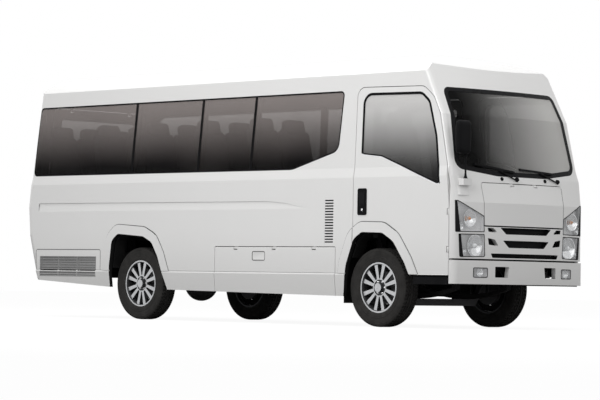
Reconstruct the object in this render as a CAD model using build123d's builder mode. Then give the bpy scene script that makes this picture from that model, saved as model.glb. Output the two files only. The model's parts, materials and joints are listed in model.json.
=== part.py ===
from build123d import *
import os

os.makedirs("parts", exist_ok=True)

# Frame: X forward, Y to the left, Z up, millimetres, origin on the road below the middle of the bus

# Overall sizes
WHEELBASE = 3400.0
FRONT_OVERHANG = 1100.0
REAR_OVERHANG = 1850.0
BODY_HALF = 895.0
FRONT_AXLE_X = (WHEELBASE + REAR_OVERHANG - FRONT_OVERHANG) / 2
REAR_AXLE_X = FRONT_AXLE_X - WHEELBASE
NOSE_X = FRONT_AXLE_X + FRONT_OVERHANG
TAIL_X = REAR_AXLE_X - REAR_OVERHANG
BODY_LENGTH = NOSE_X - TAIL_X

# Walls, gaps and fits
WALL = 40.0
GAP = 6.0
FIT = 0.3
GLASS = 5.0
GLASS_RECESS = 3.0
REACH = 400.0

# Heights of the body's main lines
SKIRT_Z = 480.0
SKIRT_LEDGE = 12.0
SKIRT_PROUD = 8.0
SKIRT_GROOVE = 5.0
BUMPER_TOP_Z = 860.0
WAIST_Z = 1150.0
COWL_Z = 1385.0
SILL_Z = 1475.0
CREASE_Z = 2350.0
ROOF_Z = 2545.0
HEADER_Z = 2235.0
CAB_FOOT_Z = 640.0
FLOOR_TOP_Z = 920.0
FLOOR = 30.0

# Nose: how far the skin stands behind the bumper's tip, by level
NOSE_SET = 10.0
NOSE_SAG = 100.0
SCREEN_SAG = 70.0
COWL_SET = 75.0
NOSE_ROUND = 70.0
SCREEN_ROUND = 45.0
TAIL_ROUND = 120.0
TAIL_SET = 40.0
TAIL_RAKE = 0.123
SIDE_SET = 15.0
SIDE_LEAN = 0.039
SKIRT_TUCK = 15.0
ROOF_MARGIN = 270.0

# Wheels and running gear
TYRE_R = 365.0
TYRE_WIDTH = 190.0
RIM_R = 234.0
WHEEL_Y = 750.0
SPINDLE_R = 30.0
HUB_BORE_R = SPINDLE_R + FIT
KINGPIN_Y = 600.0
KINGPIN_R = 15.0
RAIL_Y = 350.0
RAIL_WIDTH = 65.0
RAIL_WEB = 8.0
RAIL_LOW_Z = 530.0
RAIL_HIGH_Z = 690.0
RAIL_OUT_Y = RAIL_Y + RAIL_WIDTH / 2
DRUM_R = 150.0

# Hinges
HINGE_INSET = 12.0
KNUCKLE_R = 8.0
KNUCKLE_LENGTH = 44.0
PIN_R = 4.0
PIN_BORE_R = 4.25
PIN_SEAT = 20.0
EDGE_ROUND = 12.5


def fx(station):
    """Place along the bus, counted forwards from the front axle."""
    return FRONT_AXLE_X + station


def rx(station):
    """Place along the bus, counted forwards from the rear axle."""
    return REAR_AXLE_X + station


# Body sections from the skirt to the roof: level, half width, tail set-in,
# nose set-back, nose sag, nose corner radius, tail corner radius
TOP_Z = ROOF_Z + 75
SKIRT_END_Z = SKIRT_Z - 220
SCREEN_MID_Z = 1950.0
LEVELS = [
    (SKIRT_END_Z, BODY_HALF - SKIRT_TUCK, 212, NOSE_SET, NOSE_SAG, NOSE_ROUND, TAIL_ROUND),
    (SKIRT_Z, BODY_HALF + SKIRT_PROUD, 144, NOSE_SET, NOSE_SAG, NOSE_ROUND, TAIL_ROUND),
    (SKIRT_Z + SKIRT_LEDGE, BODY_HALF, 140, NOSE_SET, NOSE_SAG, NOSE_ROUND, TAIL_ROUND),
    (BUMPER_TOP_Z, BODY_HALF, 26, NOSE_SET, NOSE_SAG, NOSE_ROUND, TAIL_ROUND),
    (WAIST_Z, BODY_HALF, 0, NOSE_SET, NOSE_SAG, NOSE_ROUND, TAIL_ROUND),
    (COWL_Z, BODY_HALF, 29, COWL_SET, SCREEN_SAG, SCREEN_ROUND, TAIL_ROUND),
]
# The upper body leans in at the sides and the tail: level, nose set-back
for height, nose_set in ((SILL_Z, 100), (SCREEN_MID_Z, 210), (HEADER_Z, 360), (CREASE_Z, 420), (TOP_Z, 560)):
    rise = height - SILL_Z
    LEVELS.append((height, BODY_HALF - SIDE_SET - SIDE_LEAN * rise, TAIL_SET + TAIL_RAKE * rise,
                   nose_set, SCREEN_SAG, SCREEN_ROUND, TAIL_ROUND))


def plan_outline(level, inset):
    """Rounded plan of the body at one level, drawn in by the wall."""
    height, half, tail_set, nose_set, sag, nose_round, tail_round = level
    half = half - inset
    tip = NOSE_X - nose_set - inset
    tail = TAIL_X + tail_set + inset
    with BuildSketch(Plane.XY.offset(height)) as outline:
        with BuildLine():
            ThreePointArc((tip - sag, -half), (tip, 0), (tip - sag, half))
            Polyline((tip - sag, half), (tail, half), (tail, -half), (tip - sag, -half))
        make_face()
        fillet(outline.vertices().group_by(Axis.X)[-1], nose_round - inset / 2)
        fillet(outline.vertices().group_by(Axis.X)[0], tail_round - inset / 2)
    return outline.sketch


# Roof section: shoulder start, shoulder, crown edge, as half width and height
SHOULDER = [(BODY_HALF + 5, CREASE_Z - 60), (BODY_HALF - 105, CREASE_Z + 55), (BODY_HALF - 255, ROOF_Z - 55)]
# Dome line over the screen: station from the front axle and height
DOME = [(0, ROOF_Z + 7), (450, ROOF_Z - 77), (775, ROOF_Z - 200), (900, ROOF_Z - 260)]
# Rounding of the roof at the tail: set-in from the tail and height
TAIL_TOP = [(100, CREASE_Z - 150), (215, CREASE_Z + 50), (500, ROOF_Z + 7)]


def roof_block(inset):
    """Body block bounded by the roof's section and its line along the bus."""
    with BuildPart() as block:
        with BuildSketch(Plane.YZ.offset(TAIL_X - ROOF_MARGIN)):
            with BuildLine():
                Polyline((0, -ROOF_MARGIN), (BODY_HALF + ROOF_MARGIN, -ROOF_MARGIN),
                         (BODY_HALF + ROOF_MARGIN, SHOULDER[0][1] - ROOF_MARGIN), SHOULDER[0])
                ThreePointArc(*SHOULDER)
                mirror(about=Plane.YZ)
                left_crown, right_crown = SHOULDER[2], (-SHOULDER[2][0], SHOULDER[2][1])
                ThreePointArc(left_crown, (0, ROOF_Z), right_crown)
            make_face()
            offset(amount=-inset)
        extrude(amount=BODY_LENGTH + 2 * ROOF_MARGIN)
        with BuildSketch(Plane.XZ):
            with BuildLine():
                tail = [(TAIL_X + set_in, height) for set_in, height in TAIL_TOP]
                dome = [(fx(station), height) for station, height in DOME]
                Polyline((NOSE_X + ROOF_MARGIN, dome[3][1]), (NOSE_X + ROOF_MARGIN, -ROOF_MARGIN),
                         (TAIL_X - ROOF_MARGIN, -ROOF_MARGIN), (TAIL_X - ROOF_MARGIN, tail[0][1]), tail[0])
                ThreePointArc(*tail)
                Line(tail[2], dome[0])
                ThreePointArc(*dome[:3])
                Polyline(dome[2], dome[3], (NOSE_X + ROOF_MARGIN, dome[3][1]))
            make_face()
            offset(amount=-inset)
        extrude(amount=BODY_HALF + 2 * ROOF_MARGIN, both=True, mode=Mode.INTERSECT)
    return block.part


def envelope(inset):
    """Whole body as a block, drawn in by the wall."""
    with BuildPart() as block:
        for lower, upper in zip(LEVELS, LEVELS[1:]):
            loft([plan_outline(lower, inset), plan_outline(upper, inset)], ruled=True)
        add(roof_block(inset), mode=Mode.INTERSECT)
    return block.part


def side_prism(points, y_low, y_high, grow=0.0):
    """Block whose outline in X and Z, with a radius at each corner, runs across the bus."""
    with BuildPart() as prism:
        with BuildSketch(Plane.XZ.offset(-y_high)):
            with BuildLine():
                FilletPolyline(*[(x, z) for x, z, radius in points],
                               radius=[radius for x, z, radius in points], close=True)
            make_face()
            if grow:
                offset(amount=grow)
        extrude(amount=y_high - y_low)
    return prism.part


def end_prism(points, x_low, x_high, grow=0.0):
    """Block whose outline in Y and Z, with a radius at each corner, runs along the bus."""
    with BuildPart() as prism:
        with BuildSketch(Plane.YZ.offset(x_low)):
            with BuildLine():
                FilletPolyline(*[(y, z) for y, z, radius in points],
                               radius=[radius for y, z, radius in points], close=True)
            make_face()
            if grow:
                offset(amount=grow)
        extrude(amount=x_high - x_low)
    return prism.part


def block_between(low, high):
    """Plain block between two corners."""
    with BuildPart() as block:
        with Locations(((low[0] + high[0]) / 2, (low[1] + high[1]) / 2, (low[2] + high[2]) / 2)):
            Box(high[0] - low[0], high[1] - low[1], high[2] - low[2])
    return block.part


def flipped(points):
    """Outline in Y and Z, mirrored to the other side."""
    return [(-y, z, radius) for y, z, radius in points]


# Hinge in its own frame: X towards the fixed edge, Y out of the skin, Z along the pin
def hinge_cut(frame, places, run):
    """What a moving panel loses: the pockets of the knuckles and its outer edge's corner."""
    pocket = HINGE_INSET + PIN_R
    with BuildPart(frame) as cut:
        with Locations(*[(0, -KNUCKLE_R, place) for place in places]):
            Box(2 * pocket, 2 * pocket + 2 * KNUCKLE_R, KNUCKLE_LENGTH + 2 * GAP)
    low, high = run
    with BuildPart(frame) as corner:
        with Locations((EDGE_ROUND, EDGE_ROUND, (low + high) / 2)):
            Box(2 * EDGE_ROUND, 2 * EDGE_ROUND, high - low)
        with Locations((0, 0, (low + high) / 2)):
            Cylinder(EDGE_ROUND, high - low, mode=Mode.SUBTRACT)
    return [cut.part, corner.part]


def hinge_pins(frame, places):
    """Pins of a moving panel, which bridge its pockets."""
    with BuildPart(frame) as pins:
        with Locations(*[(0, 0, place) for place in places]):
            Cylinder(PIN_R, KNUCKLE_LENGTH + 2 * GAP + 2 * PIN_SEAT)
    return pins.part


def hinge_knuckles(frame, places):
    """Knuckles of the fixed panel, with the arms that carry them."""
    arm = HINGE_INSET + GAP + WALL / 4
    with BuildPart(frame) as knuckles:
        with Locations(*[(0, 0, place) for place in places]):
            Cylinder(KNUCKLE_R, KNUCKLE_LENGTH)
        with Locations(*[(arm / 2, -KNUCKLE_R / 2, place) for place in places]):
            Box(arm, KNUCKLE_R, KNUCKLE_LENGTH)
        with Locations(*[(0, 0, place) for place in places]):
            Cylinder(PIN_BORE_R, KNUCKLE_LENGTH, mode=Mode.SUBTRACT)
    return knuckles.part


def hinge_relief(frame, run, reach):
    """What a fixed piece loses where the moving edge bends away from the pin."""
    low, high = run
    with BuildPart(frame) as relief:
        with Locations((0, 0, (low + high) / 2)):
            Cylinder(reach, high - low)
    return relief.part


def save(piece, label):
    """Labels a finished piece and writes it."""
    piece.label = label
    export_step(piece, f"parts/{label}.step")


# Wheel arches: outline from the axle, as station, height and corner radius
FRONT_ARCH = [(-440, 100, 0), (-395, 340, 60), (-361, 575, 200), (-265, 815, 120), (-160, 878, 60),
              (110, 872, 90), (250, 795, 150), (400, 597, 200), (480, 448, 60), (520, 100, 0)]
REAR_ARCH = [(-408, 100, 0), (-420, 540, 120), (-385, 800, 100), (-290, 868, 70),
             (110, 842, 90), (245, 783, 110), (340, 640, 120), (477, 327, 60), (540, 100, 0)]
FLARE = 95.0
FLARE_PROUD = 7.0


def arch_block(points, axle_x, grow=0.0):
    """Block of one axle's two wheel arches, right across the bus."""
    reach = BODY_HALF + REACH
    return side_prism([(axle_x + x, z, r) for x, z, r in points], -reach, reach, grow)


def flare_blocks(points, axle_x):
    """Raised lips round one axle's wheel arches, above the skirt line."""
    with BuildPart() as lips:
        for side in (-1, 1):
            with BuildSketch(Plane.XZ.offset(-side * (BODY_HALF - WALL / 2))):
                with BuildLine():
                    FilletPolyline(*[(axle_x + x, z) for x, z, r in points],
                                   radius=[r for x, z, r in points], close=True)
                make_face()
                offset(amount=FLARE)
            extrude(amount=-side * (WALL / 2 + FLARE_PROUD))
        reach = BODY_HALF + REACH
        foot = SKIRT_Z + SKIRT_LEDGE
        add(block_between((TAIL_X, -reach, foot), (NOSE_X, reach, WAIST_Z)), mode=Mode.INTERSECT)
    return lips.part


# Seam between the cab's front, with its dome, and the rest: station and height
DOOR_FRONT = 945.0
CAB_SEAM = [(DOOR_FRONT, 100), (DOOR_FRONT - 5, WAIST_Z), (900, 1480), (785, 1955), (700, 2110)]
DOME_SEAM = [(640, HEADER_Z), (600, 2290), (112, ROOF_Z), (-50, ROOF_Z + 77)]
SEAM = [(station + GAP, height) for station, height in CAB_SEAM] + DOME_SEAM

# Cab doors: outline from the front axle, with corner radii
DOOR_FOOT_Z = 488.0
DOOR_REAR_X = fx(-278)
CAB_DOOR = [(DOOR_REAR_X, DOOR_FOOT_Z, 10), (DOOR_REAR_X, 2226, 90), (fx(575), 2208, 120),
            (fx(700), 2110, 120), (fx(785), 1955, 300), (fx(900), 1480, 600),
            (fx(DOOR_FRONT - 5), WAIST_Z, 900), (fx(DOOR_FRONT), DOOR_FOOT_Z, 10)]
CAB_WINDOW = [(fx(-203), 1592, 40), (fx(-203), 2174, 110), (fx(555), 2160, 120), (fx(660), 2075, 110),
              (fx(765), 1750, 600), (fx(828), 1310, 12), (fx(785), 1303, 20), (fx(60), 1565, 180)]
DOOR_INNER = BODY_HALF - 110

# Passenger door on the left side
GATE_FRONT = fx(-505)
GATE_REAR = fx(-1325)
GATE_FOOT_Z = 440.0
GATE_TOP_Z = 2222.0
GATE = [(GATE_REAR, GATE_FOOT_Z, 20), (GATE_REAR, GATE_TOP_Z, 80), (GATE_FRONT, GATE_TOP_Z, 80),
        (GATE_FRONT, GATE_FOOT_Z, 20)]
GATE_FRAME = 75.0
GATE_WINDOW = [(GATE_REAR + GATE_FRAME, 1150, 50), (GATE_REAR + GATE_FRAME, GATE_TOP_Z - GATE_FRAME, 50),
               (GATE_FRONT - GATE_FRAME, GATE_TOP_Z - GATE_FRAME, 50), (GATE_FRONT - GATE_FRAME, 1150, 50)]

# Side window band, its slanted joints, and the band's rear part on the left side
BAND_LOW_Z = 1478.0
BAND_HIGH_Z = 2204.0
BAND = [(TAIL_X + 123, BAND_LOW_Z, 60), (TAIL_X + 167, BAND_HIGH_Z, 95), (fx(-453), BAND_HIGH_Z, 45),
        (fx(-505), 1640, 110), (fx(-1130), BAND_LOW_Z - 6, 260)]
LEFT_BAND = BAND[:2] + [(GATE_REAR - GATE_FRAME, BAND_HIGH_Z, 40), (GATE_REAR - GATE_FRAME, BAND_LOW_Z, 40)]
JOINT_STATIONS = [-3518.0, -2502.0, -1728.0]
JOINT_SLANT = 55.0
JOINT_WIDTH = 4.0

# Crease along the side: outline in X and Z, deepest at its top and level with the skin at its foot
GROOVE_FOOT_Z = 1102.0
GROOVE_TOP_Z = 1191.0
GROOVE_DEPTH = 11.0
GROOVE_REAR = TAIL_X + 247
GROOVE = [(GROOVE_REAR, GROOVE_FOOT_Z, 0), (GROOVE_REAR, GROOVE_TOP_Z, 12),
          (fx(-1458), GROOVE_TOP_Z - 14, 600), (fx(-1205), GROOVE_TOP_Z - 34, 600),
          (fx(-905), GROOVE_FOOT_Z, 0)]
LEFT_GROOVE = GROOVE[:2] + [(GATE_REAR - GATE_FRAME, GROOVE_TOP_Z, 12),
                            (GATE_REAR - GATE_FRAME, GROOVE_FOOT_Z, 0)]

# Service flap on the right side, hinged along its top
FLAP_TOP_Z = 737.0
FLAP = [(fx(-2197), 100, 0), (fx(-2197), FLAP_TOP_Z, 12), (fx(-511), FLAP_TOP_Z, 12), (fx(-511), 100, 0)]

# Vents: the upright louvre behind the cab door, and the low grille panel at the tail
LOUVRE_LOW_Z = 785.0
LOUVRE_COUNT = 16
LOUVRE_PITCH = 26.0
LOUVRE_SLOT = 13.0
LOUVRE_FROM = fx(-656)
LOUVRE_TO = fx(-542)
VENT = [(TAIL_X + 211, 100, 0), (TAIL_X + 211, 709, 25), (fx(-3965), 709, 25), (fx(-3965), 100, 0)]
VENT_FROM = TAIL_X + 282
VENT_TO = fx(-4036)
VENT_LOW_Z = 433.0
VENT_COUNT = 8
VENT_COLUMNS = 3
VENT_PITCH = 26.0
VENT_SLOT = 12.0

# Lower edge of the skirt: place and height
SKIRT_FOOT = [(TAIL_X, 430), (TAIL_X + 150, 430), (TAIL_X + 240, 385), (rx(-417), 324), (rx(493), 308),
              (fx(-434), 280), (NOSE_X, 280)]

# Front face: outlines in Y and Z for the right half or the whole width
LID_HALF = 549.0
LID_LOW_Z = 945.0
LID_TOP_Z = 1330.0
LID_FOOT_HALF = LID_HALF - 12
LID = [(-LID_FOOT_HALF, LID_LOW_Z, 8), (LID_FOOT_HALF, LID_LOW_Z, 8), (LID_HALF, LID_TOP_Z, 25),
       (-LID_HALF, LID_TOP_Z, 25)]
LID_HOLE = [(y, z - GAP if z < LID_TOP_Z else z, radius) for y, z, radius in LID]
GRILLE_LOW_Z = 645.0
GRILLE_TOP_Z = LID_LOW_Z - 2 * GAP
GRILLE_HALF = LID_FOOT_HALF - 2
GRILLE = [(-500, GRILLE_LOW_Z, 20), (500, GRILLE_LOW_Z, 20), (GRILLE_HALF, GRILLE_TOP_Z, 8),
          (-GRILLE_HALF, GRILLE_TOP_Z, 8)]
GRILLE_BACK_X = fx(1015)
CENTRE_SLOTS = [
    [(-350, 928, 4), (350, 928, 4), (275, 868, 25), (-275, 868, 25)],
    [(-315, 812, 4), (315, 812, 4), (240, 746, 25), (-240, 746, 25)],
    [(-462, 692, 6), (462, 692, 6), (440, 652, 14), (-440, 652, 14)],
]
SIDE_SLOTS = [
    [(-502, 924, 4), (-432, 922, 6), (-378, 882, 6), (-492, 888, 6)],
    [(-498, 832, 4), (-412, 818, 6), (-368, 760, 6), (-486, 770, 6)],
]
LAMP_UP = [(-868, 1165, 6), (-838, 1165, 25), (-545, 1030, 20), (-540, 882, 8), (-862, 878, 8)]
LAMP_LOW = [(-830, 864, 8), (-540, 866, 8), (-528, 658, 20), (-818, 652, 20)]
SCREEN = [(-822, 1455, 95), (-330, 1396, 600), (330, 1396, 600), (822, 1455, 95), (752, 2205, 75),
          (-752, 2205, 75)]

# Bumpers
BUMPER_LOW_Z = 412.0
BUMPER_HIGH_Z = 625.0
BUMPER_WALL = 45.0
BRACKET_LOW_Z = 585.0
RAIL_FRONT_X = fx(1010)
FOG = [(-672, 470, 14), (-505, 470, 14), (-505, 562, 14), (-672, 562, 14)]
HOOK_HOLE = [(-415, 474, 8), (-255, 474, 8), (-240, 572, 8), (-415, 572, 8)]

# Tail: hatch, its window and the lamps
HATCH_HALF = 640.0
HATCH_LOW_Z = 900.0
HATCH_TOP_Z = 2215.0
HATCH_ROUND = 60.0
HATCH = [(-HATCH_HALF, HATCH_LOW_Z, 40), (HATCH_HALF, HATCH_LOW_Z, 40),
         (HATCH_HALF, HATCH_TOP_Z, HATCH_ROUND), (-HATCH_HALF, HATCH_TOP_Z, HATCH_ROUND)]
HATCH_GLASS = [(-550, 1500, 60), (550, 1500, 60), (530, 2120, 60), (-530, 2120, 60)]
TAIL_LAMP = [(-800, 980, 25), (-700, 980, 25), (-700, 1400, 25), (-800, 1400, 25)]

side_reach = BODY_HALF + REACH
inner_reach = BODY_HALF - REACH

# Body shell with its arches and skirt edge
outer_block = envelope(0)
inner_block = envelope(WALL)
with BuildPart() as shell:
    add(outer_block)
    add(flare_blocks(FRONT_ARCH, FRONT_AXLE_X))
    add(flare_blocks(REAR_ARCH, REAR_AXLE_X))
    add(inner_block, mode=Mode.SUBTRACT)
    add(arch_block(FRONT_ARCH, FRONT_AXLE_X), mode=Mode.SUBTRACT)
    add(arch_block(REAR_ARCH, REAR_AXLE_X), mode=Mode.SUBTRACT)
    with BuildSketch(Plane.XZ):
        with BuildLine():
            Polyline(*SKIRT_FOOT, (NOSE_X, 0), (TAIL_X, 0), close=True)
        make_face()
    extrude(amount=side_reach, both=True, mode=Mode.SUBTRACT)
    groove_low_z = SKIRT_Z + SKIRT_LEDGE
    for side in (-1, 1):
        add(block_between((TAIL_X, side * BODY_HALF - SKIRT_GROOVE, groove_low_z),
                          (DOOR_REAR_X, side * BODY_HALF + SKIRT_GROOVE, groove_low_z + SKIRT_GROOVE)),
            mode=Mode.SUBTRACT)

# Regions of the panels, as outlines in X and Z
CORNER_Y = 755.0
crease_seam_x = fx(DOME_SEAM[1][0] + (CREASE_Z - DOME_SEAM[1][1]) * (DOME_SEAM[2][0] - DOME_SEAM[1][0])
                   / (DOME_SEAM[2][1] - DOME_SEAM[1][1]))
far_nose = NOSE_X + REACH
far_tail = TAIL_X - REACH
BUMPER_SEAM = [(TAIL_X + 180, 0), (TAIL_X + 175, 430), (TAIL_X + 120, 700), (TAIL_X + 90, BUMPER_TOP_Z)]
seam_points = [(fx(station), height) for station, height in SEAM]
door_middle_x = fx(200)
tail_wall_x = fx(-4000)
side_region = BUMPER_SEAM[:1] + [(door_middle_x, 0), (door_middle_x, SEAM[4][1])] + seam_points[4:7] + [
    (crease_seam_x, CREASE_Z), (far_tail, CREASE_Z), (far_tail, BUMPER_TOP_Z)] + BUMPER_SEAM[:0:-1]
front_region = [(seam_points[0][0], CAB_FOOT_Z)] + seam_points[1:6] + [
    (far_nose, HEADER_Z), (far_nose, CAB_FOOT_Z)]
cap_region = seam_points[5:] + [(far_nose, SEAM[8][1]), (far_nose, HEADER_Z)]
roof_region = [(far_tail, CREASE_Z), (crease_seam_x, CREASE_Z), seam_points[7], seam_points[8],
               (far_tail, SEAM[8][1])]
tail_region = [(far_tail, BUMPER_TOP_Z), (tail_wall_x, BUMPER_TOP_Z), (tail_wall_x, CREASE_Z),
               (far_tail, CREASE_Z)]
rear_bumper_region = BUMPER_SEAM + [(far_tail, BUMPER_TOP_Z), (far_tail, 0)]


def sharp(points):
    """Outline with square corners."""
    return [(x, z, 0) for x, z in points]


def within(whole, block):
    """What a body and a block have in common."""
    with BuildPart() as piece:
        add(whole)
        add(block, mode=Mode.INTERSECT)
    return piece.part


def shell_piece(region, y_low, y_high):
    """Part of the shell inside an outline in X and Z, between two places across the bus."""
    return within(shell.part, side_prism(region, y_low, y_high))


# Hinge frames: place on the pin, towards the fixed edge, along the pin
door_pin_x = fx(DOOR_FRONT) - HINGE_INSET
side_pin_y = BODY_HALF - HINGE_INSET
DOOR_PLACES = [720.0, 1060.0]
GATE_PLACES = [640.0, 1250.0]
FLAP_PLACES = [fx(-1900), fx(-1354), fx(-800)]
HATCH_PLACES = [-400.0, 400.0]
LID_PLACES = [-160.0, 160.0]
right_door_frame = Plane(origin=(door_pin_x, -side_pin_y, 0), x_dir=(1, 0, 0), z_dir=(0, 0, -1))
left_door_frame = Plane(origin=(door_pin_x, side_pin_y, 0), x_dir=(1, 0, 0), z_dir=(0, 0, 1))
gate_frame = Plane(origin=(GATE_FRONT - HINGE_INSET, side_pin_y, 0), x_dir=(1, 0, 0), z_dir=(0, 0, 1))
flap_frame = Plane(origin=(0, -side_pin_y, FLAP_TOP_Z - HINGE_INSET), x_dir=(0, 0, 1), z_dir=(1, 0, 0))
lid_skin_x = NOSE_X - NOSE_SET - (COWL_SET - NOSE_SET) * (LID_TOP_Z - WAIST_Z) / (COWL_Z - WAIST_Z)
lid_pin = (lid_skin_x - HINGE_INSET, 0, LID_TOP_Z - HINGE_INSET)
lid_frame = Plane(origin=lid_pin, x_dir=(0, 0, 1), z_dir=(0, 1, 0))
hatch_skin_x = TAIL_X + TAIL_SET + TAIL_RAKE * (HATCH_TOP_Z - SILL_Z)
hatch_up = Vector(TAIL_RAKE, 0, 1).normalized()
hatch_out = Vector(-1, 0, TAIL_RAKE).normalized()
hatch_pin = Vector(hatch_skin_x, 0, HATCH_TOP_Z) - hatch_up * HINGE_INSET - hatch_out * HINGE_INSET
hatch_frame = Plane(origin=hatch_pin, x_dir=hatch_up, z_dir=(0, -1, 0))

tail_high_x = fx(-4300)


def crease_groove(outline, side):
    """Groove of one side wall, a wedge that is deepest along its top edge."""
    skin_y = side * BODY_HALF
    far_y = side * side_reach
    with BuildPart() as groove:
        add(side_prism(outline, min(0, far_y), max(0, far_y)))
        with BuildSketch(Plane.YZ.offset(TAIL_X)):
            with BuildLine():
                Polyline((skin_y, GROOVE_FOOT_Z), (skin_y - side * GROOVE_DEPTH, GROOVE_TOP_Z),
                         (far_y, GROOVE_TOP_Z), (far_y, GROOVE_FOOT_Z), close=True)
            make_face()
        extrude(amount=BODY_LENGTH, mode=Mode.INTERSECT)
    return groove.part


# Right side wall with its window band, door opening, flap opening and vents
flap_opening = side_prism(FLAP, -side_reach, -inner_reach, GAP)
vent_opening = side_prism(VENT, -side_reach, -inner_reach, FIT)
with BuildPart() as side_right:
    add(shell_piece(sharp(side_region), -side_reach, -CORNER_Y))
    add(side_prism(CAB_DOOR, -side_reach, -inner_reach, GAP), mode=Mode.SUBTRACT)
    add(side_prism(BAND, -side_reach, -inner_reach), mode=Mode.SUBTRACT)
    add([flap_opening, vent_opening], mode=Mode.SUBTRACT)
    add(end_prism(TAIL_LAMP, far_tail, tail_high_x), mode=Mode.SUBTRACT)
    add(crease_groove(GROOVE, -1), mode=Mode.SUBTRACT)
    louvre_x = (LOUVRE_FROM + LOUVRE_TO) / 2
    louvre_rows = [LOUVRE_LOW_Z + LOUVRE_PITCH * row for row in range(LOUVRE_COUNT)]
    with Locations(*[(louvre_x, -BODY_HALF, row_z) for row_z in louvre_rows]):
        Box(LOUVRE_TO - LOUVRE_FROM, 3 * WALL, LOUVRE_SLOT, mode=Mode.SUBTRACT)
    add(hinge_knuckles(flap_frame, FLAP_PLACES))
save(side_right.part, "side_right")

# Left side wall with its window band and the two door openings
with BuildPart() as side_left:
    add(shell_piece(sharp(side_region), CORNER_Y, side_reach))
    add(side_prism(CAB_DOOR, inner_reach, side_reach, GAP), mode=Mode.SUBTRACT)
    add(side_prism(GATE, inner_reach, side_reach, GAP), mode=Mode.SUBTRACT)
    add(side_prism(LEFT_BAND, inner_reach, side_reach), mode=Mode.SUBTRACT)
    add(end_prism(flipped(TAIL_LAMP), far_tail, tail_high_x), mode=Mode.SUBTRACT)
    add(crease_groove(LEFT_GROOVE, 1), mode=Mode.SUBTRACT)
    gate_foot_reach = HINGE_INSET + SKIRT_PROUD + 2 * GAP
    add(hinge_relief(gate_frame, (GATE_FOOT_Z - GAP, SKIRT_Z + SKIRT_LEDGE), gate_foot_reach),
        mode=Mode.SUBTRACT)
    add(hinge_knuckles(gate_frame, GATE_PLACES))
save(side_left.part, "side_left")

# Roof and the dome over the cab
with BuildPart() as roof:
    add(shell_piece(sharp(roof_region), -side_reach, side_reach))
save(roof.part, "roof")

with BuildPart() as front_cap:
    add(shell_piece(sharp(cap_region), -side_reach, side_reach))
save(front_cap.part, "front_cap")

# Cab front: screen frame, lamp openings, lid opening and grille opening
front_low_x = fx(500)
lamp_low_x = fx(DOOR_FRONT) + 2 * GAP
door_knee_z = WAIST_Z - WALL
with BuildPart() as cab_front:
    add(shell_piece(sharp(front_region), -side_reach, side_reach))
    add(end_prism(SCREEN, front_low_x, far_nose), mode=Mode.SUBTRACT)
    for outline in (LAMP_UP, LAMP_LOW):
        add(end_prism(outline, lamp_low_x, far_nose), mode=Mode.SUBTRACT)
        add(end_prism(flipped(outline), lamp_low_x, far_nose), mode=Mode.SUBTRACT)
    add(end_prism(LID_HOLE, front_low_x, far_nose, GAP), mode=Mode.SUBTRACT)
    add(end_prism(GRILLE, front_low_x, far_nose), mode=Mode.SUBTRACT)
    add(hinge_relief(right_door_frame, (-SILL_Z, -door_knee_z), EDGE_ROUND + GAP), mode=Mode.SUBTRACT)
    add(hinge_relief(left_door_frame, (door_knee_z, SILL_Z), EDGE_ROUND + GAP), mode=Mode.SUBTRACT)
    add(hinge_knuckles(right_door_frame, [-place for place in DOOR_PLACES]))
    add(hinge_knuckles(left_door_frame, DOOR_PLACES))
    add(hinge_knuckles(lid_frame, LID_PLACES))
save(cab_front.part, "cab_front")

# Lid over the front service bay
with BuildPart() as front_lid:
    add(shell.part)
    add(end_prism(LID, front_low_x, far_nose), mode=Mode.INTERSECT)
    add(hinge_cut(lid_frame, LID_PLACES, (-LID_HALF, LID_HALF)), mode=Mode.SUBTRACT)
    add(hinge_pins(lid_frame, LID_PLACES))
save(front_lid.part, "front_lid")

# Grille with its slots, and the dark plate behind it
with BuildPart() as grille:
    add(shell.part)
    add(end_prism(GRILLE, front_low_x, far_nose, -FIT), mode=Mode.INTERSECT)
    for outline in CENTRE_SLOTS:
        add(end_prism(outline, front_low_x, far_nose), mode=Mode.SUBTRACT)
    for outline in SIDE_SLOTS:
        add(end_prism(outline, front_low_x, far_nose), mode=Mode.SUBTRACT)
        add(end_prism(flipped(outline), front_low_x, far_nose), mode=Mode.SUBTRACT)
save(grille.part, "grille")

backing_block = envelope(WALL + FIT)
with BuildPart() as grille_insert:
    add(backing_block)
    add(end_prism(GRILLE, GRILLE_BACK_X, far_nose, -WALL / 2), mode=Mode.INTERSECT)
save(grille_insert.part, "grille_insert")

# Tail wall with the hatch opening and the lamp openings
with BuildPart() as rear_wall:
    add(shell_piece(sharp(tail_region), -CORNER_Y + FIT, CORNER_Y - FIT))
    add(end_prism(HATCH, far_tail, tail_high_x, GAP), mode=Mode.SUBTRACT)
    for outline in (TAIL_LAMP, flipped(TAIL_LAMP)):
        add(end_prism(outline, far_tail, tail_high_x), mode=Mode.SUBTRACT)
    for run in ((-HATCH_HALF - GAP, HATCH_ROUND - HATCH_HALF), (HATCH_HALF - HATCH_ROUND, HATCH_HALF + GAP)):
        add(hinge_relief(hatch_frame, run, EDGE_ROUND + GAP), mode=Mode.SUBTRACT)
    add(hinge_knuckles(hatch_frame, HATCH_PLACES))
save(rear_wall.part, "rear_wall")

with BuildPart() as rear_bumper:
    add(shell_piece(sharp(rear_bumper_region), -side_reach, side_reach))
save(rear_bumper.part, "rear_bumper")

# Hatch, hinged along its top
with BuildPart() as hatch:
    add(shell.part)
    add(end_prism(HATCH, far_tail, tail_high_x), mode=Mode.INTERSECT)
    add(end_prism(HATCH_GLASS, far_tail, tail_high_x), mode=Mode.SUBTRACT)
    add(hinge_cut(hatch_frame, HATCH_PLACES, (-HATCH_HALF, HATCH_HALF)), mode=Mode.SUBTRACT)
    add(hinge_pins(hatch_frame, HATCH_PLACES))
save(hatch.part, "hatch")

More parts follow.
